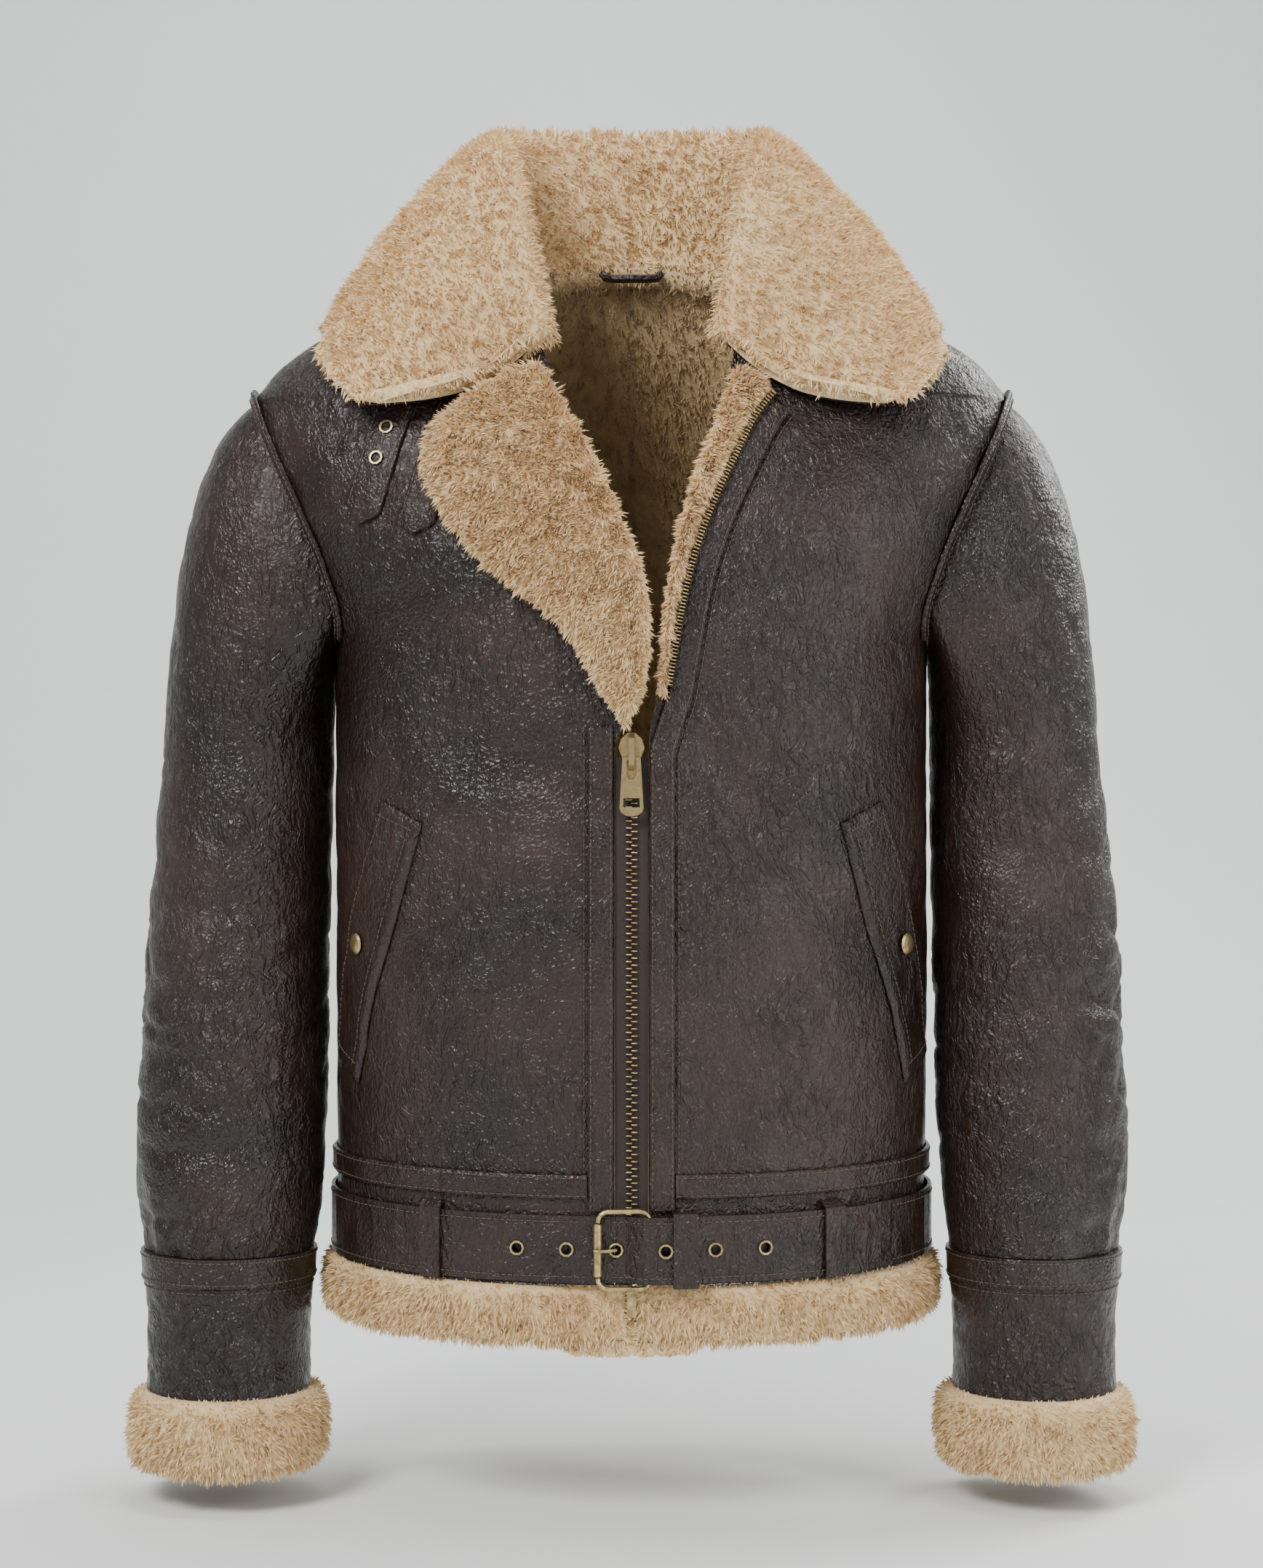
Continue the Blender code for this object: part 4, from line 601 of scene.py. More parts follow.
def patina_group():
    """Aged brass: browned hollows, rubbed high spots and fine scratches."""
    name = "Brass patina"
    if name in bpy.data.node_groups:
        return bpy.data.node_groups[name]
    tree, n, given, out = new_group(
        name,
        [
            ("Vector", "NodeSocketVector", None),
            ("Metal", "NodeSocketColor", (1, 1, 1, 1)),
            ("Tarnish", "NodeSocketColor", (0, 0, 0, 1)),
        ],
        [("Color", "NodeSocketColor"), ("Roughness", "NodeSocketFloat"), ("Height", "NodeSocketFloat")],
    )
    vector = given.outputs["Vector"]
    stain = n.span(n.noise(vector, 150.0, 5.0, 0.65, 0.5), 0.38, 0.66)
    pit = n.noise(vector, 900.0, 3.0, 0.6)
    n.join(n.mix(stain, given.outputs["Metal"], given.outputs["Tarnish"]), out.inputs["Color"])
    dull = n.math("ADD", n.math("MULTIPLY", stain, 0.7), n.math("MULTIPLY", pit, 0.5))
    n.join(n.span(dull, 0.0, 1.2, 0.24, 0.58), out.inputs["Roughness"])
    n.join(pit, out.inputs["Height"])
    return tree


def start_material(name):
    found = bpy.data.materials.get(name)
    if found:
        return found, None, None, None
    made = bpy.data.materials.new(name)
    made.use_nodes = True
    n = Nodes(made.node_tree)
    shader = made.node_tree.nodes["Principled BSDF"]
    place = n.add("ShaderNodeTexCoord").outputs["Object"]
    return made, n, shader, place


def placed_group(n, tree, vector):
    node = n.add("ShaderNodeGroup", node_tree=tree)
    n.join(vector, node.inputs["Vector"])
    return node


def leather_material(name, shade=1.0, depth=1.0):
    look = bpy.context.scene.jacket_leather
    made, n, shader, place = start_material(name)
    if n is None:
        return made
    grain = placed_group(n, leather_grain_group(), place)
    grain.inputs["Crease depth"].default_value = depth
    colour = tuple(c * shade for c in look.colour)
    worn = tuple(c * shade for c in look.worn_colour)
    tone = n.span(grain.outputs["Tone"], 0.38, 0.66)
    body = n.mix(tone, (*colour, 1.0), (*worn, 1.0))
    # Painted shade: the grain's cracks and hollows are darkened towards 0.30 of the leather colour
    crack_shade = n.math("MULTIPLY", grain.outputs["Crack"], 0.55)
    n.join(n.mix(crack_shade, body, (*(c * 0.30 for c in colour), 1.0)), shader.inputs["Base Color"])
    dull = n.math("MULTIPLY", grain.outputs["Crack"], 0.22)
    low, high = look.roughness - 0.07, look.roughness + 0.09
    rough = n.span(grain.outputs["Tone"], 0.3, 0.7, low, high)
    n.join(n.math("ADD", dull, rough, True), shader.inputs["Roughness"])
    shader.inputs["Specular IOR Level"].default_value = 0.42
    shader.inputs["Coat Weight"].default_value = 0.04
    shader.inputs["Coat Roughness"].default_value = 0.25
    n.join(n.bump(grain.outputs["Height"], look.grain_strength, look.grain_depth), shader.inputs["Normal"])
    return made


def fleece_material(name, painted_shade_brightness=1.0):
    look = bpy.context.scene.jacket_fleece
    made, n, shader, place = start_material(name)
    if n is None:
        return made
    wool = placed_group(n, wool_tone_group(), place)
    # Both wool colours times a brightness; below 1 this makes a darker copy of the wool, painted shade
    wool.inputs["Light"].default_value = (*(c * painted_shade_brightness for c in look.light), 1.0)
    wool.inputs["Dark"].default_value = (*(c * painted_shade_brightness for c in look.dark_tone_and_shade), 1.0)
    n.join(wool.outputs["Color"], shader.inputs["Base Color"])
    shader.inputs["Roughness"].default_value = 0.9
    shader.inputs["Specular IOR Level"].default_value = 0.2
    shader.inputs["Sheen Weight"].default_value = 0.25
    shader.inputs["Sheen Roughness"].default_value = 0.5
    n.join(n.bump(wool.outputs["Height"], 0.5, 0.0012), shader.inputs["Normal"])
    return made


def brass_material(name):
    look = bpy.context.scene.jacket_metal
    made, n, shader, place = start_material(name)
    if n is None:
        return made
    aged = placed_group(n, patina_group(), place)
    aged.inputs["Metal"].default_value = (*look.brass, 1.0)
    aged.inputs["Tarnish"].default_value = (*look.tarnish, 1.0)
    n.join(aged.outputs["Color"], shader.inputs["Base Color"])
    n.join(aged.outputs["Roughness"], shader.inputs["Roughness"])
    shader.inputs["Metallic"].default_value = 1.0
    n.join(n.bump(aged.outputs["Height"], 0.15, 0.0003), shader.inputs["Normal"])
    return made


def tape_material():
    made, n, shader, place = start_material("Zip tape twill")
    if n is None:
        return made
    turned = n.add("ShaderNodeMapping")
    n.join(place, turned.inputs["Vector"])
    turned.inputs["Rotation"].default_value = (0.0, 0.9, 0.0)
    rib = n.add("ShaderNodeTexWave", wave_type="BANDS", bands_direction="X")
    n.join(turned.outputs[0], rib.inputs["Vector"])
    rib.inputs["Scale"].default_value = 420.0
    rib.inputs["Distortion"].default_value = 0.6
    # Painted shade: the twill's valleys are darker and its crests lighter, following the rib bump
    shaded_valley, lit_crest = (0.012, 0.008, 0.007, 1.0), (0.050, 0.034, 0.028, 1.0)
    n.join(n.mix(rib.outputs["Fac"], shaded_valley, lit_crest), shader.inputs["Base Color"])
    shader.inputs["Roughness"].default_value = 0.85
    n.join(n.bump(rib.outputs["Fac"], 0.5, 0.0004), shader.inputs["Normal"])
    return made


def thread_material():
    made, n, shader, place = start_material("Waxed thread")
    if n is None:
        return made
    fleck = n.span(n.noise(place, 700.0, 2.0), 0.3, 0.7)
    n.join(n.mix(fleck, (0.045, 0.028, 0.021, 1.0), (0.130, 0.088, 0.062, 1.0)), shader.inputs["Base Color"])
    shader.inputs["Roughness"].default_value = 0.7
    n.join(n.bump(fleck, 0.3, 0.0002), shader.inputs["Normal"])
    return made


# Fleece
def domed(sections, reach=0.0045):
    """Sections with both ends closed off by a rounded cap."""
    steps = ((0.86, 0.45), (0.55, 0.85), (0.12, 1.0))
    ends = []
    for first, second in ((sections[0], sections[1]), (sections[-1], sections[-2])):
        middle = first.mean(axis=0)
        away = unit(middle - second.mean(axis=0))
        ends.append([middle + (first - middle) * scale + away * reach * out for scale, out in steps])
    return np.concatenate([ends[0][::-1], sections, ends[1]])


def outward(grid, normals):
    """Normals of a closed body of sections, turned to face out."""
    middle = grid.mean(axis=1, keepdims=True)
    return -normals if np.sum(normals * (grid - middle)) < 0 else normals


def fleece_base(name, grid, normals, inset, material, ring, lumps=0.0016):
    """The dense wool that the tufts grow from, with soft lumps, sunk below the tips."""
    low = field(grid, 0.011, 2, 4.0) * lumps + field(grid, 0.0045, 2, 8.0) * lumps * 0.5
    points = grid - normals * inset[..., None] + normals * (low * (inset > 0.001))[..., None]
    rows, cols = grid.shape[:2]
    faces = grid_faces(rows, cols, ring, True)
    obj = add_object(name, points, faces, material)
    if not ring:
        mesh = obj.data
        bm = bmesh.new()
        bm.from_mesh(mesh)
        bm.verts.ensure_lookup_table()
        for row in (0, rows - 1):
            bm.faces.new([bm.verts[row * cols + c] for c in range(cols)])
        bm.to_mesh(mesh)
        bm.free()
    tidy_normals(obj)
    return obj, points


def tufts(
    name, points, normals, weight, count, length, material, comb=(0, 0, -0.35), wrap_rows=False,
    wrap_cols=True, width=0.0011, seed=0,
):
    """Thin curved blades of wool, clumped, spread evenly over a grid."""
    rng = np.random.default_rng(SEED + seed)
    rows, cols = points.shape[:2]
    r = np.arange(rows if wrap_rows else rows - 1)
    c = np.arange(cols if wrap_cols else cols - 1)
    r, c = [a.ravel() for a in np.meshgrid(r, c, indexing="ij")]
    r2, c2 = (r + 1) % rows, (c + 1) % cols
    area = np.linalg.norm(np.cross(points[r, c2] - points[r, c], points[r2, c] - points[r, c]), axis=1)
    area = area * (weight[r, c] + weight[r2, c2]) / 2
    chosen = rng.choice(len(r), size=count, p=area / area.sum())
    r, c, r2, c2 = r[chosen], c[chosen], r2[chosen], c2[chosen]
    u, v = rng.random((2, count, 1))

    def blend(a):
        return (a[r, c] * (1 - u) + a[r, c2] * u) * (1 - v) + (a[r2, c] * (1 - u) + a[r2, c2] * u) * v

    root, normal = blend(points), unit(blend(normals))
    size = length * (0.62 + 0.5 * rng.random((count, 1))) * np.clip(blend(weight[..., None]), 0.25, 1)
    lean = np.stack([field(root, 0.0075, 1, 20.0 + 5 * k) for k in range(3)], axis=-1)
    curl = np.stack([field(root, 0.0032, 1, 40.0 + 5 * k) for k in range(3)], axis=-1)
    fall = np.asarray(comb, float)
    fall = fall - normal * np.sum(normal * fall, axis=1, keepdims=True)
    way = unit(normal + lean * 1.1 + fall + rng.normal(0, 0.16, (count, 3)))
    way = unit(way + normal * np.maximum(0.35 - np.sum(way * normal, axis=1, keepdims=True), 0))
    side = unit(np.cross(way, rng.normal(0, 1, (count, 3))))
    half = side * width / 2
    middle = root + way * size * 0.55 + curl * size * 0.35
    tip = root + way * size + curl * size * 0.5 + fall * size * 0.3
    root = root - normal * 0.0008
    blades = np.stack([root - half, root + half, middle + half * 0.8, middle - half * 0.8, tip], axis=1)
    faces = np.array(((0, 1, 2), (0, 2, 3), (3, 2, 4)))
    every = (faces[None] + np.arange(count)[:, None, None] * 5).reshape(-1, 3)
    obj = add_object(name, blades, every, material)
    return obj


def fleece_piece(
    name, sections, node, count, length, ring=False, weight=None, comb=(0, 0, -0.35), seed=0, extra=(),
):
    """A fleece body from its sections: the base, then its tufts, whose tips reach the solid's surface."""
    look = bpy.context.scene.jacket_fleece
    grid = np.asarray(sections) if ring else domed(np.asarray(sections))
    normals = outward(grid, grid_normals(grid, ring, True))
    share = np.ones(grid.shape[:2]) if weight is None else np.broadcast_to(weight, grid.shape[:2])
    inset = length * 0.66 * np.clip((share - 0.3) / 0.7, 0, 1)
    # Painted shade: the base between the tufts takes a darker copy of the wool (0.86), and the tufts take the
    # full colour
    base, points = fleece_base(
        f"{name}_wool", grid, normals, inset, fleece_material("Fleece roots painted shade", 0.86), ring,
    )
    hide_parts(node, *extra)
    count = max(int(count * look.density), 200)
    tufts(
        f"{name}_tufts", points, normals, share, count, length, fleece_material("Fleece tips", 1.0),
        comb, ring, True, seed=seed,
    )
    return base


# Leather body
def leather_relief(points, turn):
    """Broad creases of the body leather, in metres, inwards."""
    small = crumple(points, np.array((1.0, 1.0, 0.55)), 0.024, 0.0006)
    broad = crumple(points, np.array((1.0, 1.0, 0.70)), 0.055, 0.0010, 5.0)
    return (small + broad) * np.where(np.sin(turn) < 0, 1.0, 0.85)


def outer_turn(z, face):
    row = row_at(TORSO_ROWS, TORSO_COLUMNS, z)
    seam = face * 0.00018 / row["front"]
    hole = row_at(ARMHOLE_ROWS, ARMHOLE_COLUMNS, np.clip(z, ARMPIT_Z, TIP_Z))
    width = hole["front" if face < 0 else "back"]
    cut = turn_at(np.minimum(width, row["half_width"] * 0.9995), z, face)
    cut = np.minimum(cut, seam) if face < 0 else np.maximum(cut, seam)
    return np.where((z > ARMPIT_Z) & (z < TIP_Z), cut, seam)


def dressed(turn, z, out=0.0):
    """The torso leather with its creases, moved out."""
    plain = torso_plain(turn, z)
    return torso(turn, z, np.asarray(out) - leather_relief(plain, turn))


def panel_turns(side, face, z, columns):
    end = outer_turn(z, face)
    if face < 0:
        edge = row_at(FRONT_EDGES, EDGE_COLUMNS, z)[side_name(side)]
        start = turn_at(edge, z, -1)
    else:
        start = math.pi / 2 - 0.00018 / row_at(TORSO_ROWS, TORSO_COLUMNS, z)["half_width"]
    u = np.linspace(0, 1, columns)
    return mirrored(start[:, None] + (end - start)[:, None] * u, side)


def panel_levels(fine):
    below = np.linspace(HEM_Z, ARMPIT_Z, int(96 * fine), endpoint=False)
    arm = np.linspace(ARMPIT_Z, TIP_Z, int(46 * fine), endpoint=False)
    above = TIP_Z + (NECK_Z - TIP_Z) * (1 - (1 - np.linspace(0, 1, int(26 * fine))) ** 1.5)
    return np.concatenate([below, arm, above])


def body_panel(side, face, leather, lining):
    kind = "front" if face < 0 else "back"
    name = f"{kind}_{side_name(side)}"
    z = panel_levels(0.9)
    turns = panel_turns(side, face, z, 56 if face < 0 else 50)
    levels = np.broadcast_to(z[:, None], turns.shape)
    outer = dressed(turns, levels)
    inner = torso(turns, levels, -0.0034)
    obj = shell(f"{name}_leather", outer, inner, leather, nodes=(name,))

    z = panel_levels(0.45)
    turns = panel_turns(side, face, z, 30)
    levels = np.broadcast_to(z[:, None], turns.shape)
    if face > 0:
        turns[:, 0] = math.pi / 2 + 0.012 * side
    near, far = torso(turns, levels, -0.0037), torso(turns, levels, -0.0080)
    far = far + torso_normal(turns, levels) * (field(far, 0.012, 2, 2.0) * 0.0011)[..., None]
    if face > 0:
        down = 0.0030 * np.exp(-((far[..., 0] / 0.004) ** 2))
        across = 0.0025 * np.exp(-(((far[..., 2] + 0.115) / 0.004) ** 2))
        far = far + torso_normal(turns, levels) * (down + across)[..., None]
    back = shell(f"{name}_wool", near, far, lining)
    return back, far, -torso_normal(turns, levels)


# Sleeves
def crease_depth(side, degrees, z):
    depth = np.zeros(np.broadcast(degrees, z).shape)
    for s, mz, middle, reach, deep, width, slant in SLEEVE_CREASES:
        if s != side:
            continue
        away = (degrees - middle + 180) % 360 - 180
        fade = np.where(np.abs(away) < reach, np.cos(away / reach * math.pi / 2) ** 2, 0)
        depth = depth + deep * fade * np.exp(-(((z - mz - slant * away) / width) ** 2))
    down = np.clip((PLEAT_TOP_Z - z) / 0.045, 0, 1)
    for at in SLEEVE_PLEATS[side]:
        away = (degrees - at + 180) % 360 - 180
        depth = depth + PLEAT_DEPTH * down * np.exp(-((away / 9.0) ** 2))
    return depth


def sleeve(angle, z, side, out=0.0, creased=True):
    """The sleeve below its cap. Angle 0 is the outer side, 90 degrees the front."""
    angle, z = np.broadcast_arrays(np.asarray(angle, float), np.asarray(z, float))
    row = row_at(SLEEVE_ROWS, SLEEVE_COLUMNS, z)
    c, s = np.cos(angle), np.sin(angle)
    out = np.asarray(out, float) - (crease_depth(side, np.degrees(angle) % 360, z) if creased else 0.0)
    x = row["x"] + (row["half_width"] + out) * c
    return np.stack([side * x, row["y"] - (row["half_depth"] + out) * s, z + 0 * x], axis=-1)


def hermite(start, leave, end, arrive, t):
    t = t[:, None, None]
    return (
        (2 * t**3 - 3 * t**2 + 1) * start
        + (t**3 - 2 * t**2 + t) * leave
        + (3 * t**2 - 2 * t**3) * end
        + (t**3 - t**2) * arrive
    )


def armhole_levels(around):
    levels = np.linspace(TIP_Z, ARMPIT_Z, 60)
    points = torso_plain(outer_turn(levels, -1), levels)
    run = np.concatenate([[0], np.cumsum(np.linalg.norm(np.diff(points, axis=0), axis=1))])
    found = np.interp(np.linspace(0, run[-1], around // 2 + 1), run, levels)
    found[0], found[-1] = TIP_Z, ARMPIT_Z
    return found


def armhole_loop(side, around):
    z = armhole_levels(around)
    front, back = mirrored(outer_turn(z, -1), side), mirrored(outer_turn(z, 1), side)
    return np.concatenate([front, back[-2:0:-1]]), np.concatenate([z, z[-2:0:-1]])


def sleeve_cap(side, around, steps):
    turn, z = armhole_loop(side, around)
    edge, facing = torso(turn, z), torso_normal(turn, z)
    across = edge.mean(axis=0) - edge
    across = unit(across - facing * np.sum(across * facing, axis=1, keepdims=True))
    start = edge + across * 0.0005
    angle = 2 * math.pi * np.arange(around) / around
    top, under = np.maximum(np.cos(angle), 0), np.maximum(-np.cos(angle), 0)
    front = np.abs(np.sin(angle))
    share = np.stack([top, front, under], axis=-1) / (top + front + under)[:, None]
    leave = share @ np.array(((0.150, 0, -0.100), (0.085, 0, -0.080), (0.004, 0, -0.050)))
    leave[:, 1] = -0.018 * np.sin(angle)
    arrive = share @ np.array(((0.010, 0, -0.200), (0.004, 0, -0.110), (0.002, 0, -0.060)))
    leave[:, 0] *= side
    arrive[:, 0] *= side
    return hermite(start, leave, sleeve(angle, CAP_Z, side), arrive, steps)


def sleeve_relief(grid, side, angle, z):
    """Depth of the creases in sleeve leather: across it, most at the elbow and the hand end."""
    busy = 0.55 + 0.9 * np.exp(-(((z + 0.46) / 0.10) ** 2)) + 0.5 * np.exp(-(((z + 0.585) / 0.03) ** 2))
    outside = 0.65 + 0.35 * np.maximum(np.cos(angle), -0.2)
    small = crumple(grid, np.array((0.62, 0.62, 1.35)), 0.026, 0.0010, 3.0 * side)
    broad = crumple(grid, np.array((0.50, 0.50, 1.25)), 0.052, 0.0024, 8.0 * side)
    return (small + broad) * busy * outside


def make_sleeve(side, leather, lining):
    name = side_name(side)
    around = 88
    cap = sleeve_cap(side, around, np.linspace(0, 1, 44, endpoint=False) ** 1.25)
    angle = 2 * math.pi * np.arange(around) / around
    levels = np.linspace(CAP_Z, -0.6138, 100)
    grid = np.concatenate([cap, sleeve(angle[None, :], levels[:, None], side)])
    normal = outward(grid, grid_normals(grid, False, True))
    ring = np.arange(len(grid))[:, None]
    fade = np.clip(ring / 12, 0, 1) * np.clip((len(grid) - 1 - ring) / 5, 0, 1)
    relief = sleeve_relief(grid, side, angle[None, :], grid[..., 2]) * fade
    outer = grid - normal * relief[..., None]
    inner = grid - normal * 0.0040
    obj = shell(f"sleeve_{name}_leather", outer, inner, leather, True, (f"sleeve_{name}",))
    coarse = grid[::4, ::3]
    facing = normal[::4, ::3]
    shell(f"sleeve_{name}_wool", coarse - facing * 0.0043, coarse - facing * 0.0076, lining, True)


def tube(name, side, levels, out, thick, material, relief, node):
    angle = 2 * math.pi * np.arange(96) / 96
    z, outs = np.asarray(levels)[:, None], np.asarray(out)[:, None]
    grid = sleeve(angle[None, :], z, side, outs, False)
    depth = crumple(grid, np.array((0.7, 0.7, 1.0)), 0.022, relief, 5.0 * side)
    fade = np.sin(np.linspace(0, math.pi, len(levels)))[:, None] ** 0.4
    outer = sleeve(angle[None, :], z, side, outs - depth * fade, False)
    inner = sleeve(angle[None, :], z, side, outs * 0 - thick, False)
    return shell(name, outer, inner, material, True, (node,))


# Strips, straps and stitching on the body
# The rounded far side of a strip, edge to edge, as shares of its half width and of its thickness
PROFILE = (
    (-1.0, 0.0), (-0.97, 0.72), (-0.88, 0.97), (-0.45, 1.0),
    (0.0, 1.0), (0.45, 1.0), (0.88, 0.97), (0.97, 0.72), (1.0, 0.0),
)


def resample(rows, step):
    """The same line with its points about a step apart."""
    rows = np.asarray(rows, float)
    run = np.concatenate([[0], np.cumsum(np.linalg.norm(np.diff(rows, axis=0), axis=1))])
    wanted = np.linspace(0, run[-1], max(int(run[-1] / step) + 1, 2))
    return np.stack([np.interp(wanted, run, rows[:, k]) for k in range(rows.shape[1])], axis=-1)


def strip_on_front(name, rows, width, low, high, material, node, point=0.0):
    """A strip with rounded edges along (x, z) rows on the front, pointed at its end if asked."""
    rows = resample(rows, 0.0035)
    tangent = unit(np.gradient(rows, axis=0))
    side = np.stack([-tangent[:, 1], tangent[:, 0]], axis=1)
    half = np.full(len(rows), width / 2)
    if point:
        left = np.linalg.norm(rows - rows[-1], axis=1)
        half = np.where(left < point, width / 2 * np.clip(left / point, 0.06, 1), half)

    def surface(x, z, out):
        return dressed(turn_at(x, z, -1), z, out)

    outer = []
    for across, up in PROFILE:
        at = rows + side * (across * half)[:, None]
        outer.append(surface(at[:, 0], at[:, 1], np.full(len(rows), low + (high - low) * up)))
    for way in (1, -1):
        at = rows + side * way * (half * 0.96)[:, None]
        outer.append(surface(at[:, 0], at[:, 1], np.full(len(rows), low)))
    grid = np.stack(outer, axis=1)
    obj = closed_body(name, grid, material)
    if node:
        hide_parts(node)
    return obj


def closed_body(name, grid, material):
    """A solid body from rings of points, with flat ends."""
    rows, cols = grid.shape[:2]
    faces = [tuple(f) for f in grid_faces(rows, cols, False, True)]
    faces += [tuple(range(cols)), tuple(range((rows - 1) * cols, rows * cols))]
    mesh = bpy.data.meshes.new(name)
    mesh.from_pydata(grid.reshape(-1, 3).tolist(), [], faces)
    mesh.update()
    mesh.shade_smooth()
    obj = bpy.data.objects.new(name, mesh)
    bpy.context.scene.collection.objects.link(obj)
    mesh.materials.append(material)
    tidy_normals(obj)
    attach(obj, "jacket")
    return obj


def band_round(name, turns, low_z, high_z, low, high, material, node):
    """A strip round the body between two levels, with rounded edges."""
    middle, half = (low_z + high_z) / 2, (high_z - low_z) / 2
    profile = (*PROFILE, (0.96, 0.0), (-0.96, 0.0))
    flat = np.ones(len(turns))
    lines = [dressed(turns, flat * (middle + half * a), flat * (low + (high - low) * u)) for a, u in profile]
    grid = np.stack(lines, axis=1)
    obj = closed_body(name, grid, material)
    if node:
        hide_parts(node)
    return obj


STITCH_END = ((-1, -0.6), (1, -0.6), (0.55, 1), (-0.55, 1))
STITCH = np.array([(u, v, w) for u in (-1, 1) for v, w in STITCH_END], float)
STITCH_FACES = ((0, 1, 2, 3), (7, 6, 5, 4), (0, 4, 5, 1), (1, 5, 6, 2), (2, 6, 7, 3), (3, 7, 4, 0))


class Seams:
    """Gathers rows of stitches, then makes them one mesh."""

    def __init__(self):
        self.origin, self.axes = [], []

    def sew(self, points, facing, pitch=0.0040, length=0.0030, width=0.0007):
        points, facing = np.asarray(points), np.asarray(facing)
        run = np.concatenate([[0], np.cumsum(np.linalg.norm(np.diff(points, axis=0), axis=1))])
        places = np.arange(pitch / 2, run[-1], pitch)
        if len(places) < 2:
            return
        at = np.stack([np.interp(places, run, points[:, k]) for k in range(3)], axis=-1)
        out = unit(np.stack([np.interp(places, run, facing[:, k]) for k in range(3)], axis=-1))
        way = unit(np.gradient(at, axis=0))
        side = unit(np.cross(way, out))
        self.origin.append(at + out * 0.00005)
        self.axes.append(np.stack([way * length / 2, side * width / 2, out * 0.00032], axis=1))

    def on_front(self, rows, out):
        rows = resample(rows, 0.003)
        turn = turn_at(rows[:, 0], rows[:, 1], -1)
        self.sew(dressed(turn, rows[:, 1], np.full(len(rows), out)), torso_normal(turn, rows[:, 1]))

    def round_body(self, turns, z, out, plain=False):
        z = np.broadcast_to(np.asarray(z, float), turns.shape)
        surface = torso if plain else dressed
        lift = np.broadcast_to(np.asarray(out, float), turns.shape)
        self.sew(surface(turns, z, lift), torso_normal(turns, z))

    def make(self, name, material):
        origin, axes = np.concatenate(self.origin), np.concatenate(self.axes)
        obj = pieces_mesh(name, STITCH, (origin, axes), STITCH_FACES, material)
        return obj


def side_turns(side, first_x, z, last=-0.0015, count=90):
    """Turns round half the front, from near its edge to the side seam."""
    start = float(turn_at(first_x, z, -1))
    return mirrored(np.linspace(start, last, count), side)


def make_zip_strip(side, leather, seams):
    """The strip beside the zip. The left one runs on along the open edge."""
    middle, half = (STRIP_INNER + STRIP_OUTER) / 2, (STRIP_OUTER - STRIP_INNER) / 2
    levels = np.linspace(STRIP_LOW_Z, STRIP_HIGH_Z[side], 24)
    rows = [(side * middle, z) for z in levels]
    if side > 0:
        above = along(LAPELS[1], np.linspace(0.0, 0.93, 14))
        rows += [(row[2] + half + 0.0030, row[3] - 0.002) for row in above]
    name = f"zip_strip_{side_name(side)}"
    strip_on_front(f"{name}_leather", rows, 2 * half, TRIM_NEAR, TRIM_FAR, leather, name)
    path = resample(rows, 0.003)
    tangent = unit(np.gradient(path, axis=0))
    across = np.stack([-tangent[:, 1], tangent[:, 0]], axis=1)
    for shift in (-0.0058, 0.0058):
        seams.on_front(path + across * shift, 0.0031)
    seams.on_front(path + across * (0.0100 if side < 0 else -0.0100), 0.0004)


def make_waist_welts(leather, seams):
    """The flat strip round the waist, in two fronts and a back."""
    pieces = [(side_name(side), side_turns(side, STRIP_OUTER + 0.0004, WAIST_LOW_Z)) for side in (1, -1)]
    pieces.append(("back", np.linspace(0.0015, math.pi - 0.0015, 180)))
    for place, turns in pieces:
        name = f"waist_welt_{place}"
        band_round(f"{name}_leather", turns, WAIST_LOW_Z, WAIST_HIGH_Z, TRIM_NEAR, TRIM_FAR, leather, name)
        for z in (WAIST_LOW_Z + 0.0022, WAIST_HIGH_Z - 0.0022):
            seams.round_body(turns, z, 0.0031)


WELT_PROFILE = (
    (0.0014, 0.2), (0.0014, 0.7), (0.0026, 1.0), (0.0056, 1.12),
    (0.0088, 0.95), (0.0100, 0.6), (0.0100, 0.1), (0.0056, 0.0),
)


def make_armhole_welt(side, leather, seams):
    """The doubled edge over the shoulder, where the sleeve is sewn in."""
    turn, z = armhole_loop(side, 96)
    half = len(turn) // 2
    chosen = np.arange(-half + 10, half - 9) % len(turn)
    edge, facing = torso(turn, z), torso_normal(turn, z)
    away = edge - edge.mean(axis=0)
    away = unit(away - facing * np.sum(away * facing, axis=1, keepdims=True))
    edge, facing, away = edge[chosen], facing[chosen], away[chosen]
    rows = []
    for across, up in WELT_PROFILE:
        rows.append(edge + away * across + facing * (0.0002 + 0.0019 * up))
    grid = np.stack(rows, axis=1)
    name = f"armhole_welt_{side_name(side)}"
    obj = closed_body(f"{name}_leather", grid, leather)
    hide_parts(name)
    seams.sew(edge + away * 0.0034 + facing * 0.0023, facing)
    seams.sew(edge + away * 0.0080 + facing * 0.0022, facing)


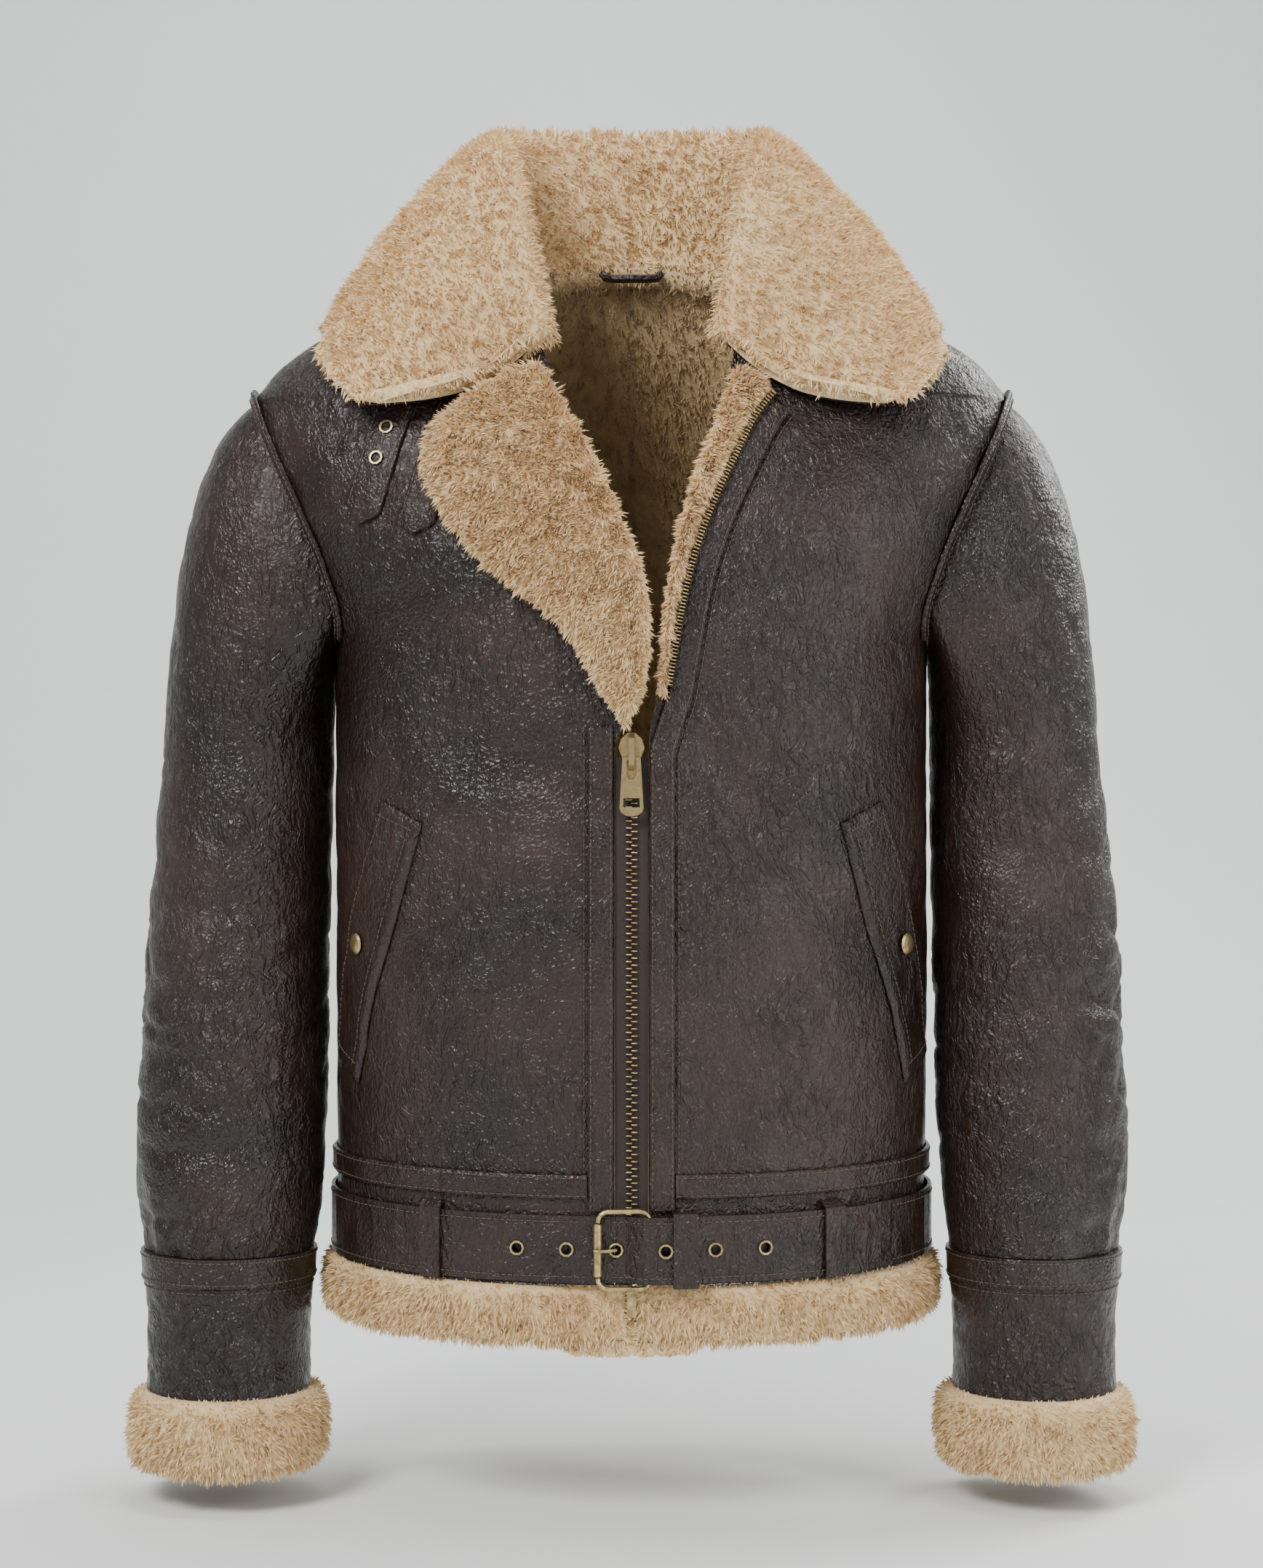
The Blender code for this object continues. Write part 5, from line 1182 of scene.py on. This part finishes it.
def make_pocket(side, leather, seams):
    """The slanted pocket's flap, raised along its opening, with stitches round it."""
    v = np.linspace(0, 1, 60)
    row = along(POCKET_ROWS, v)
    u = np.linspace(0, 1, 22)
    first, last = turn_at(row[:, 0], row[:, 1], -1), turn_at(row[:, 2], row[:, 3], -1)
    turn = mirrored(first[:, None] + (last - first)[:, None] * u, side)
    z = row[:, 1, None] + (row[:, 3] - row[:, 1])[:, None] * u
    rim = np.minimum(np.minimum(u, 1 - u)[None, :] * 18, np.minimum(v, 1 - v)[:, None] * 60)
    lift = 0.0014 + 0.0014 * np.clip(rim, 0, 1) ** 0.5 + 0.0010 * np.exp(-(((u[None, :] - 0.10) / 0.08) ** 2))
    outer, inner = dressed(turn, z, lift), dressed(turn, z, 0.0008 + 0 * lift)
    name = f"pocket_flap_{side_name(side)}"
    obj = shell(f"{name}_leather", outer, inner, leather, nodes=(name,))
    facing = torso_normal(turn, z)
    for c in (4, 18):
        seams.sew(outer[2:-2, c] + facing[2:-2, c] * 0.0001, facing[2:-2, c])
    for r in (3, -4):
        seams.sew(outer[r, 2:-2] + facing[r, 2:-2] * 0.0001, facing[r, 2:-2])
    return obj


# Belt
def belt_out(x):
    """How far the belt's near side stands off the body, higher where it passes the buckle."""
    over_heel = BELT_GAP + BELT_THICKNESS + 0.0004 + 0.0032 + 0.0004
    over_layer = BELT_GAP + BELT_THICKNESS + 0.0006
    xs = (-0.040, -0.0035, BUCKLE_HEEL_X - 0.004, 0.0372, 0.0444, 0.160)
    return np.interp(x, xs, (BELT_GAP, BELT_GAP, over_heel, over_heel, over_layer, over_layer))


def sew_belt(seams):
    """Two rows of stitches round the belt, and two on the end that lies over it."""
    middle = (BELT_LOW_Z + BELT_HIGH_Z) / 2
    start = float(turn_at(0.1580, middle, -1))
    end = float(turn_at(-0.045, middle, -1)) + 2 * math.pi
    turns = np.linspace(start, end, 300)
    out = BELT_GAP + BELT_THICKNESS + 0.0001
    for z in (BELT_LOW_Z + 0.0035, BELT_HIGH_Z - 0.0035):
        seams.round_body(turns, z, out, plain=True)
        x = np.concatenate([np.linspace(-0.058, -0.026, 10), np.linspace(-0.012, BELT_TIP_X - 0.022, 70)])
        for part in (x[:10], x[10:]):
            turn = turn_at(part, np.full(len(part), middle), -1)
            seams.round_body(turn, z, belt_out(part) + BELT_THICKNESS + 0.0001, plain=True)


# Collar
def collar_seam_point(share, side):
    """A point of the seam between collar and body, from the front edge (0) to the middle of the back (1)."""
    split = 0.44
    if share < split:
        z = COLLAR_FRONT_SEAM_Z + (NECK_Z - COLLAR_FRONT_SEAM_Z) * share / split
        edge = float(row_at(FRONT_EDGES, EDGE_COLUMNS, z)[side_name(side)])
        turn = float(turn_at(edge, z, -1))
    else:
        z = NECK_Z
        edge = float(row_at(FRONT_EDGES, EDGE_COLUMNS, z)[side_name(side)])
        first = float(turn_at(edge, z, -1))
        turn = first + (math.pi / 2 - first) * (share - split) / (1 - split)
    point = torso(mirrored(turn, side), z)
    inward = unit((-point[0], 0.01 - point[1], 0))
    corner = 0.0026 * math.exp(-(((share - split) / 0.12) ** 2))
    return point + inward * (COLLAR_HALF + 0.0044 + corner) + np.array((0, 0, 0.0012))


def bezier(p0, p1, p2, p3, t):
    t = np.asarray(t)[:, None]
    return (1 - t) ** 3 * p0 + 3 * (1 - t) ** 2 * t * p1 + 3 * (1 - t) * t**2 * p2 + t**3 * p3


STAND_STEPS = np.linspace(0, 1, 12, endpoint=False)
LEAF_STEPS = np.linspace(0, 1, 26)


def collar_middle_line(share, side):
    """The middle of the collar's thickness: up its stand, over the fold and down its leaf."""
    row = along(COLLAR_ROWS, share)
    seam = collar_seam_point(row[0], side)
    flip = np.array((side, 1, 1))
    fold, edge = row[1:4] * flip, row[4:7] * flip
    way = unit((edge - seam) * np.array((1, 1, 0)))
    rise = fold - seam
    leaf_start = fold + way * 0.016
    stand = bezier(seam, seam + rise * 0.4, fold - way * 0.014 - rise * 0.1, fold, STAND_STEPS)
    down = edge - leaf_start
    bow = way * 0.012 + np.array((0, 0, 0.006))
    leaf = bezier(fold, leaf_start, leaf_start + down * 0.45 + bow, edge, LEAF_STEPS)
    leaf[:, 2] -= row[7] * np.sin(math.pi * LEAF_STEPS)
    return np.concatenate([stand, leaf])


def collar_sections(per_half):
    """The collar's fleece side and leather side, as two grids from its left end to its right."""
    shares = np.linspace(0, 1, per_half)
    stations = [(s, 1) for s in shares] + [(s, -1) for s in shares[-2::-1]]
    lines = np.array([collar_middle_line(s, side) for s, side in stations])
    for _ in range(2):
        lines[1:-1] = (lines[:-2] + 2 * lines[1:-1] + lines[2:]) / 4
    across = unit(np.gradient(lines, axis=0).mean(axis=1))
    near, far = [], []
    for k, line in enumerate(lines):
        tangent = np.gradient(line, axis=0)
        normal = unit(np.cross(tangent, across[k]))
        taper = np.ones(len(line))
        taper[-1], taper[-2], taper[-3] = 0.55, 0.80, 0.95
        a, b = line + normal * (COLLAR_HALF * taper)[:, None], line - normal * (COLLAR_HALF * taper)[:, None]
        first = len(STAND_STEPS) + 2
        gap = 0.0050 if stations[k][0] < 0.5 else 0.0030
        moved = kept_clear(b[first:], gap)
        a[first:] += moved - b[first:]
        b[first:] = moved
        near.append(a)
        far.append(b)
    return np.array(near), np.array(far)


def collar_dents(near, normals):
    """The sewn line along the collar's edge, the seam at the middle of the back, and slight waves."""
    rows, cols = near.shape[:2]
    along_leaf = np.arange(cols) - len(STAND_STEPS)
    middle = (rows - 1) / 2

    def groove(steps, at):
        return np.exp(-(((steps - at) / 0.8) ** 2))

    edge_line = groove(along_leaf, 21.2) * 0.0022
    back_seam = groove(np.arange(rows), middle) * 0.0018
    neck_line = groove(along_leaf, -9.5) * 0.0018 + groove(along_leaf, -6.3) * 0.0014
    wave = field(near, 0.050, 2, 6.0) * 0.0026
    dent = edge_line[None, :] + back_seam[:, None] + neck_line[None, :]
    swell = wave * np.clip(along_leaf / 6, 0, 1)[None, :]
    return near - normals * dent[..., None] + normals * swell[..., None]


def make_collar(leather):
    """The collar's fleece, and the leather on its underside."""
    near, far = collar_sections(66)
    normals = unit(near - far)
    near = collar_dents(near, normals)
    under = far + normals * 0.0022
    section = np.concatenate([near, under[:, ::-1]], axis=1)
    cols = near.shape[1]
    weight = np.concatenate([np.ones(cols), np.array([1.0, 0.9, 0.5]), np.zeros(cols - 3)])
    look = bpy.context.scene.jacket_fleece
    fleece_piece(
        "collar", section, "collar", COLLAR_TUFTS, look.collar_pile, weight=weight, comb=(0, -0.05, -0.45),
        seed=1,
    )
    skin_out = far[:, 1:-1]
    skin_in = far[:, 1:-1] + normals[:, 1:-1] * 0.0016
    obj = shell("collar_leather", skin_out, skin_in, leather, nodes=())


def make_neck_roll():
    """The rolled wool where the collar is sewn to the lining."""
    shares = np.linspace(0.30, 1.0, 40)
    left = [collar_seam_point(share, 1) for share in shares]
    right = [collar_seam_point(share, -1) for share in shares[-2::-1]]
    path = np.array(left + right)
    inward = unit(np.stack([-path[:, 0], 0.01 - path[:, 1], 0 * path[:, 0]], axis=1))
    t = 2 * math.pi * np.arange(12) / 12
    up = np.array((0.0, 0.0, 1.0))
    centre = path - inward * 0.0030 + up * 0.0010
    c, s = np.cos(t)[None, :, None], np.sin(t)[None, :, None]
    grid = centre[:, None] + 0.0085 * c * inward[:, None] + 0.0075 * s * up
    # Painted shade: the neck roll takes the lining's darker copy of the wool (0.62), as if in shadow inside
    # the neck
    wool = fleece_material("Lining wool painted shade", 0.62)
    normals = outward(grid, grid_normals(grid, False, True))
    lumps = field(grid, 0.007, 2, 3.0) * 0.0014
    obj = closed_body("neck_roll_wool", grid + normals * lumps[..., None], wool)
    tufts("neck_roll_tufts", grid, normals, np.ones(grid.shape[:2]), ROLL_TUFTS, 0.0045, wool, seed=40)


# Lapels
def lapel_sections(side, count, steps):
    """Rounded sections across a lapel, from its top to its foot."""
    rows = along(LAPELS[side], np.linspace(0, 1, count))
    width = np.hypot(rows[:, 2] - rows[:, 0], rows[:, 3] - rows[:, 1])
    height = LAPEL_THICKNESS[side] * np.minimum(1.0, width / 0.012 * 0.6 + 0.25)
    sections = []
    for k, row in enumerate(rows):
        u = (1 - np.cos(np.linspace(0, math.pi, steps))) / 2
        x, z = side * (row[0] + (row[2] - row[0]) * u), row[1] + (row[3] - row[1]) * u
        full = np.minimum(1.0, np.sqrt(np.maximum(1 - np.abs(2 * u - 1) ** 4, 0)) * 1.02)
        middle = LAPEL_LOW[side] + height[k] / 2
        upper = front_point(x, z, middle + height[k] / 2 * full)
        lower = front_point(x, z, middle - height[k] / 2 * full * 0.96)
        sections.append(np.concatenate([upper, lower[-2:0:-1]]))
    return np.array(sections), steps


def make_lapel(side, seed):
    """A lapel of fleece, with full wool on its upper side."""
    name = f"lapel_{side_name(side)}"
    sections, steps = lapel_sections(side, 72 if side < 0 else 80, 26 if side < 0 else 14)
    cols = sections.shape[1]
    weight = np.ones(cols)
    weight[steps + 1:-1] = 0.35
    look = bpy.context.scene.jacket_fleece
    count = LAPEL_TUFTS[side]
    fleece_piece(
        name, sections, name, count, look.lapel_pile, weight=weight, comb=(0.25 * side, 0, -0.4),
        seed=seed,
    )


# Hem and cuffs
def rounded_box(half_radial, half_height, count):
    """The outline of a rim of fleece: a box with well rounded corners."""
    t = 2 * math.pi * (np.arange(count) + 0.5) / count
    reach = (np.abs(np.cos(t)) ** 3 + np.abs(np.sin(t)) ** 3) ** (-1 / 3)
    return half_radial * reach * np.cos(t), half_height * reach * np.sin(t)


def rim_weight(dz):
    """Full wool on a rim, and less on its top, where the leather lies on it."""
    return smooth((-1.01, 0.60, 0.92, 1.01), (1, 1, 0.55, 0.30), dz / dz.max())


def make_hem_fleece(side, seed):
    """The rim of fleece under the hem, on one side."""
    top, bottom, inner, outer = HEM_RIM
    middle_z, middle_out = (top + bottom) / 2, (inner + outer) / 2
    dr, dz = rounded_box((outer - inner) / 2, (top - bottom) / 2, 26)
    start = float(turn_at(0.0035, middle_z, -1))
    base = np.linspace(start, math.pi / 2 - 0.00018 / 0.189, 150)
    pressed = 0.0075 * np.exp(-((math.pi / 2 + base) / 0.25) ** 4)
    turns = mirrored(base, side)[:, None]
    out = middle_out + dr[None, :] - np.where(dr > 0, pressed[:, None], 0)
    grid = torso(turns, middle_z + dz[None, :], out)
    name = f"hem_fleece_{side_name(side)}"
    look = bpy.context.scene.jacket_fleece
    weight = rim_weight(dz)
    fleece_piece(name, grid, name, HEM_TUFTS, look.edge_pile, weight=weight, comb=(0, 0, -0.5), seed=seed)


def make_cuff_fleece(side, seed):
    """The rim of fleece at the end of a cuff."""
    top, bottom, inner, outer = CUFF_RIM
    middle_z, middle_out = (top + bottom) / 2, (inner + outer) / 2
    dr, dz = rounded_box((outer - inner) / 2, (top - bottom) / 2, 26)
    angle = 2 * math.pi * np.arange(84)[:, None] / 84
    grid = sleeve(angle, middle_z + dz[None, :], side, middle_out + dr[None, :], False)
    name = f"cuff_fleece_{side_name(side)}"
    look = bpy.context.scene.jacket_fleece
    weight = rim_weight(dz)
    fleece_piece(
        name, grid, name, CUFF_TUFTS, look.edge_pile, ring=True, weight=weight, comb=(0, 0, -0.5), seed=seed,
    )


# Zip teeth
TOOTH_ENDS = ((-1, 1.0, 1.0), (1, 0.8, 0.62))
CORNERS = ((-1, -1), (1, -1), (1, 1), (-1, 1))
TOOTH = np.array([(x * wide, y * deep, z) for z, wide, deep in TOOTH_ENDS for x, y in CORNERS], float)
TOOTH_FACES = ((0, 3, 2, 1), (4, 5, 6, 7), (0, 1, 5, 4), (1, 2, 6, 5), (2, 3, 7, 6), (3, 0, 4, 7))


def teeth(name, rows, reach, width, low, high, material, node, both=False, pitch=0.0021):
    """Metal teeth along (x, z) rows on the front: each reaches across the line, turn about if both."""
    path = resample(rows, pitch)
    way = unit(np.gradient(path, axis=0))
    side = np.stack([-way[:, 1], way[:, 0]], axis=1)
    shift = np.where(np.arange(len(path)) % 2 == 0, 1.0, -1.0) * (reach * 0.36 if both else 0.0)
    at = path + side * shift[:, None]
    turn = turn_at(at[:, 0], at[:, 1], -1)
    origin = torso(turn, at[:, 1], np.full(len(at), (low + high) / 2))
    out = torso_normal(turn, at[:, 1])
    ahead = path + way * 0.001
    line = unit(front_point(ahead[:, 0], ahead[:, 1]) - front_point(path[:, 0], path[:, 1]))
    across = unit(np.cross(out, line))
    axes = np.stack([across * reach / 2, line * width / 2, out * (high - low) / 2], axis=1)
    obj = pieces_mesh(name, TOOTH, (origin, axes), TOOTH_FACES, material)
    if node:
        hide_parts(node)
    return obj


def zip_parts(brass):
    """The teeth of the closed chain and of both open edges."""
    chain = [(0.0, z) for z in (ZIP_LOW_Z, ZIP_HIGH_Z)]
    teeth("zip_chain_teeth", chain, 0.0046, 0.0011, -0.0010, 0.0012, brass, "zip_chain", both=True)
    t = np.linspace(0.02, 0.97, 60)
    row = along(LAPELS[1], t)
    left = np.stack([row[:, 2] + 0.0027, row[:, 3] - 0.0003], axis=-1)
    teeth("zip_edge_left_teeth", left, 0.0042, 0.0012, 0.0050, 0.0072, brass, "zip_edge_left")
    row = along(LAPELS[-1], np.linspace(0.12, 0.66, 50))
    right = np.stack([-(row[:, 2] - 0.004), row[:, 3]], axis=-1)
    teeth("zip_edge_right_teeth", right, 0.0042, 0.0012, 0.0008, 0.0030, brass, "zip_edge_right")


def make_straps(leather, seams):
    """The two straps under the collar, each with a pointed end."""
    for kind, (start, end) in STRAPS.items():
        start, end = np.array(start), np.array(end)
        name = f"collar_strap_{kind}"
        rows = start + (end - start) * np.linspace(0, 1, 9)[:, None]
        strip_on_front(
            f"{name}_leather", rows, STRAP_WIDTH, TRIM_NEAR, TRIM_FAR, leather, name, point=STRAP_POINT,
        )
        way = unit(end - start)
        across = np.array((-way[1], way[0]))
        for shift in (-STRAP_WIDTH / 2 + 0.0022, STRAP_WIDTH / 2 - 0.0022):
            seams.on_front(rows[:8] + across * shift, 0.0031)


# Settings and operators
class JacketLeather(bpy.types.PropertyGroup):
    colour: FloatVectorProperty(
        name="Colour", description="Leather colour", size=3, subtype="COLOR",
        default=(0.0120, 0.0060, 0.0043), min=0.0, max=1.0,
    )
    worn_colour: FloatVectorProperty(
        name="Worn colour", description="Leather colour where it is rubbed", size=3, subtype="COLOR",
        default=(0.034, 0.0165, 0.0115), min=0.0, max=1.0,
    )
    roughness: FloatProperty(
        name="Roughness", description="Middle roughness of the leather", default=0.30, min=0.05, max=1.0,
    )
    grain_strength: FloatProperty(
        name="Grain strength", description="Share of the grain's bump", default=0.85, min=0.0, max=1.0,
    )
    grain_depth: FloatProperty(
        name="Grain depth", description="Depth of the grain", default=0.0022, min=0.0, unit="LENGTH",
    )


class JacketFleece(bpy.types.PropertyGroup):
    light: FloatVectorProperty(
        name="Light", description="Colour of the wool tips", size=3, subtype="COLOR",
        default=(0.90, 0.69, 0.40), min=0.0, max=1.0,
    )
    # The darker wool colour: partly random yellowed patches, partly painted shade between locks and tufts
    dark_tone_and_shade: FloatVectorProperty(
        name="Dark", description="Colour between the tufts", size=3, subtype="COLOR",
        default=(0.70, 0.46, 0.22), min=0.0, max=1.0,
    )
    density: FloatProperty(
        name="Density", description="Share of the full number of tufts", default=1.0, min=0.01, max=1.2,
    )
    collar_pile: FloatProperty(
        name="Collar pile", description="Length of the collar's wool", default=0.0062, min=0.001,
        unit="LENGTH",
    )
    lapel_pile: FloatProperty(
        name="Lapel pile", description="Length of the lapels' wool", default=0.0060, min=0.001,
        unit="LENGTH",
    )
    edge_pile: FloatProperty(
        name="Edge pile", description="Length of the hem and cuff wool", default=0.0062, min=0.001,
        unit="LENGTH",
    )


class JacketMetal(bpy.types.PropertyGroup):
    brass: FloatVectorProperty(
        name="Brass", description="Metal colour", size=3, subtype="COLOR", default=(0.60, 0.45, 0.22),
        min=0.0, max=1.0,
    )
    tarnish: FloatVectorProperty(
        name="Tarnish", description="Colour of the stains", size=3, subtype="COLOR",
        default=(0.24, 0.17, 0.08), min=0.0, max=1.0,
    )


class JacketStudio(bpy.types.PropertyGroup):
    floor: FloatVectorProperty(
        name="Floor", description="Floor and wall colour", size=3, subtype="COLOR",
        default=(0.80, 0.82, 0.80), min=0.0, max=1.0,
    )
    key_watts: FloatProperty(
        name="Key light", description="Power of the large front light", default=70.0, min=0.0,
        unit="POWER",
    )
    lens: FloatProperty(
        name="Lens", description="Focal length of the camera", default=67.5, min=10.0, unit="CAMERA",
    )


class JACKET_OT_body(bpy.types.Operator):
    """Make the leather fronts and backs with their wool lining"""

    bl_idname = "jacket.body"
    bl_label = "Fronts and backs"

    def execute(self, context):
        # The lining and its tufts take a darker copy of the wool (0.62), painted shade inside the jacket
        leather, wool = leather_material("Body leather"), fleece_material("Lining wool painted shade", 0.62)
        for side in (1, -1):
            for face in (-1, 1):
                lining, points, inward = body_panel(side, face, leather, wool)
                seen = np.clip((points[..., 2] + 0.40) / 0.04, 0, 1)
                seen = seen * np.exp(-((points[..., 0] / (0.085 if face > 0 else 0.075)) ** 4)) + 1e-6
                name = f"lining_tufts_{'back' if face > 0 else 'front'}_{side_name(side)}"
                count = int(LINING_TUFTS[face] * context.scene.jacket_fleece.density)
                tufts(
                    name, points, inward, seen, count, 0.0050, wool, wrap_cols=False,
                    seed=20 + 2 * side + face,
                )
        return {"FINISHED"}


class JACKET_OT_sleeves(bpy.types.Operator):
    """Make the sleeves, their bands and their cuffs"""

    bl_idname = "jacket.sleeves"
    bl_label = "Sleeves"

    def execute(self, context):
        # The sleeve lining takes a darker copy of the wool (0.62), painted shade inside the sleeve
        leather, wool = leather_material("Sleeve leather", 1.0, 1.15), fleece_material("Lining wool painted shade", 0.62)
        trim = leather_material("Trim leather", 0.92, 0.7)
        seams = Seams()
        for side in (1, -1):
            make_sleeve(side, leather, wool)
            name = side_name(side)
            node = f"sleeve_band_{name}"
            levels, out = np.linspace(BAND_HIGH_Z, BAND_LOW_Z, 9), np.full(9, 0.0022)
            band = tube(f"{node}_leather", side, levels, out, 0.0073, trim, 0.0003, node)
            levels = np.linspace(CUFF_HIGH_Z, CUFF_LOW_Z, 30)
            out = np.interp(-levels, CUFF_LEVELS, CUFF_OUT)
            tube(f"cuff_{name}_leather", side, levels, out, 0.0075, leather, 0.0014, f"cuff_{name}")
            angle = np.linspace(0, 2 * math.pi, 180)
            for z, lift in ((-0.6165, 0.0023), (-0.6300, 0.0023), (-0.6355, 0.0008)):
                points = sleeve(angle, np.full(180, z), side, np.full(180, lift), False)
                middle = points.mean(axis=0)
                seams.sew(points, unit((points - middle) * np.array((1, 1, 0))))
        seams.make("sleeve_stitches", thread_material())
        return {"FINISHED"}


class JACKET_OT_trim(bpy.types.Operator):
    """Make the strips, welts, pockets and straps, and sew every edge"""

    bl_idname = "jacket.trim"
    bl_label = "Strips, pockets and stitching"

    def execute(self, context):
        leather = leather_material("Trim leather", 0.92, 0.7)
        seams = Seams()
        for side in (1, -1):
            make_zip_strip(side, leather, seams)
            make_armhole_welt(side, leather, seams)
            make_pocket(side, leather, seams)
            seams.round_body(side_turns(side, 0.012, HEM_Z + 0.004, count=160), HEM_Z + 0.0045, 0.0003)
        make_waist_welts(leather, seams)
        make_straps(leather, seams)
        sew_belt(seams)
        turns = np.linspace(0.02, math.pi - 0.02, 160)
        seams.round_body(turns, HEM_Z + 0.0045, 0.0003)
        seams.make("body_stitches", thread_material())
        return {"FINISHED"}


class JACKET_OT_fleece(bpy.types.Operator):
    """Make the collar, lapels, hem and cuffs of fleece"""

    bl_idname = "jacket.fleece"
    bl_label = "Fleece"

    def execute(self, context):
        make_collar(leather_material("Collar leather", 0.95, 1.0))
        make_neck_roll()
        for number, side in enumerate((1, -1)):
            make_lapel(side, 2 + number)
            make_hem_fleece(side, 4 + number)
            make_cuff_fleece(side, 6 + number)
        return {"FINISHED"}


class JACKET_OT_fittings(bpy.types.Operator):
    """Make the zip's teeth and finish the metal, belt and loops"""

    bl_idname = "jacket.fittings"
    bl_label = "Zip, belt and metal"

    def execute(self, context):
        brass = brass_material("Aged brass")
        zip_parts(brass)
        belt = leather_material("Belt leather", 0.95, 0.8)
        tape = tape_material()
        shown = [o for o in bpy.data.objects if "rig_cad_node" in o and not o.hide_render]
        if not shown:
            raise RuntimeError("the frame holds no solids to finish")
        for kept in shown:
            name = kept["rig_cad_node"]
            metal = name.startswith(("buckle", "snap")) or "eyelet" in name
            if metal or name in ("zip_slider", "zip_pull", "zip_box"):
                wanted = brass
            elif name == "zip_tape":
                wanted = tape
            else:
                wanted = belt
            kept.data.materials.clear()
            kept.data.materials.append(wanted)
        return {"FINISHED"}


class JACKET_OT_studio(bpy.types.Operator):
    """Make the pale floor and wall, the soft lights and the camera"""

    bl_idname = "jacket.studio"
    bl_label = "Studio"

    def execute(self, context):
        studio = context.scene.jacket_studio
        floor_z, bend, back_y, reach, top = -0.770, 0.9, 2.2, 7.0, 4.5
        turn = np.linspace(0, math.pi / 2, 25)
        profile = [(-6.0, floor_z), (back_y - bend, floor_z)]
        start_y, centre_z = back_y - bend, floor_z + bend
        profile += [(start_y + bend * math.sin(t), centre_z - bend * math.cos(t)) for t in turn[1:]]
        profile.append((back_y, top))
        grid = np.array([[(x, y, z) for x in (-reach, reach)] for y, z in profile])
        made, n, shader, place = start_material("Studio paper")
        if n is not None:
            fleck = n.span(n.noise(place, 6.0, 3.0), 0.3, 0.7)
            low = tuple(c * 0.985 for c in studio.floor)
            n.join(n.mix(fleck, (*low, 1.0), (*studio.floor, 1.0)), shader.inputs["Base Color"])
            shader.inputs["Roughness"].default_value = 0.85
        wall = add_object("studio_paper", grid, grid_faces(len(profile), 2), made, ride=False)

        target = Vector((0.0, 0.0, -0.34))
        lights = (
            ("Key", (-1.15, -1.75, 1.25), 0.95, studio.key_watts),
            ("Fill", (1.75, -1.55, 0.15), 1.7, studio.key_watts * 0.42),
            ("Top", (0.1, 0.25, 1.95), 1.5, studio.key_watts * 0.60),
            ("Rim", (1.35, 0.95, 0.70), 0.9, studio.key_watts * 0.42),
        )
        for name, at, size, watts in lights:
            lamp = bpy.data.lights.new(name, "AREA")
            lamp.shape = "SQUARE"
            lamp.size, lamp.energy = size, watts
            held = bpy.data.objects.new(name, lamp)
            held.location = at
            held.rotation_euler = (target - Vector(at)).to_track_quat("-Z", "Y").to_euler()
            context.scene.collection.objects.link(held)

        world = bpy.data.worlds.new("Studio air")
        world.use_nodes = True
        sky = world.node_tree.nodes["Background"]
        sky.inputs["Color"].default_value = (0.86, 0.90, 0.95, 1.0)
        sky.inputs["Strength"].default_value = 0.42
        context.scene.world = world

        lens = bpy.data.cameras.new("Camera")
        lens.sensor_fit = "VERTICAL"
        lens.sensor_height = 36.0
        lens.lens = studio.lens
        camera = bpy.data.objects.new("Camera", lens)
        camera.location = (0.0, -1.9, -0.32)
        camera.rotation_euler = (math.pi / 2, 0.0, 0.0)
        context.scene.collection.objects.link(camera)
        context.scene.camera = camera
        return {"FINISHED"}


class JACKET_PT_panel(bpy.types.Panel):
    bl_label = "Sheepskin jacket"
    bl_idname = "JACKET_PT_panel"
    bl_space_type = "VIEW_3D"
    bl_region_type = "UI"
    bl_category = "Jacket"

    def draw(self, context):
        for step in OPERATORS:
            self.layout.operator(step.bl_idname)
        for group in SETTINGS:
            box = self.layout.box()
            for name in SETTINGS[group].__annotations__:
                box.prop(getattr(context.scene, group), name)


SETTINGS = {
    "jacket_leather": JacketLeather, "jacket_fleece": JacketFleece, "jacket_metal": JacketMetal,
    "jacket_studio": JacketStudio,
}
OPERATORS = (
    JACKET_OT_body, JACKET_OT_sleeves, JACKET_OT_trim, JACKET_OT_fleece, JACKET_OT_fittings,
    JACKET_OT_studio,
)


def register():
    for made in (*SETTINGS.values(), *OPERATORS, JACKET_PT_panel):
        bpy.utils.register_class(made)
    for name, group in SETTINGS.items():
        setattr(bpy.types.Scene, name, PointerProperty(type=group))


def unregister():
    for name in SETTINGS:
        delattr(bpy.types.Scene, name)
    for made in (JACKET_PT_panel, *reversed(OPERATORS), *SETTINGS.values()):
        bpy.utils.unregister_class(made)


def main():
    register()
    bpy.ops.jacket.body()
    bpy.ops.jacket.sleeves()
    bpy.ops.jacket.trim()
    bpy.ops.jacket.fleece()
    bpy.ops.jacket.fittings()
    bpy.ops.jacket.studio()


if __name__ == "__main__":
    main()
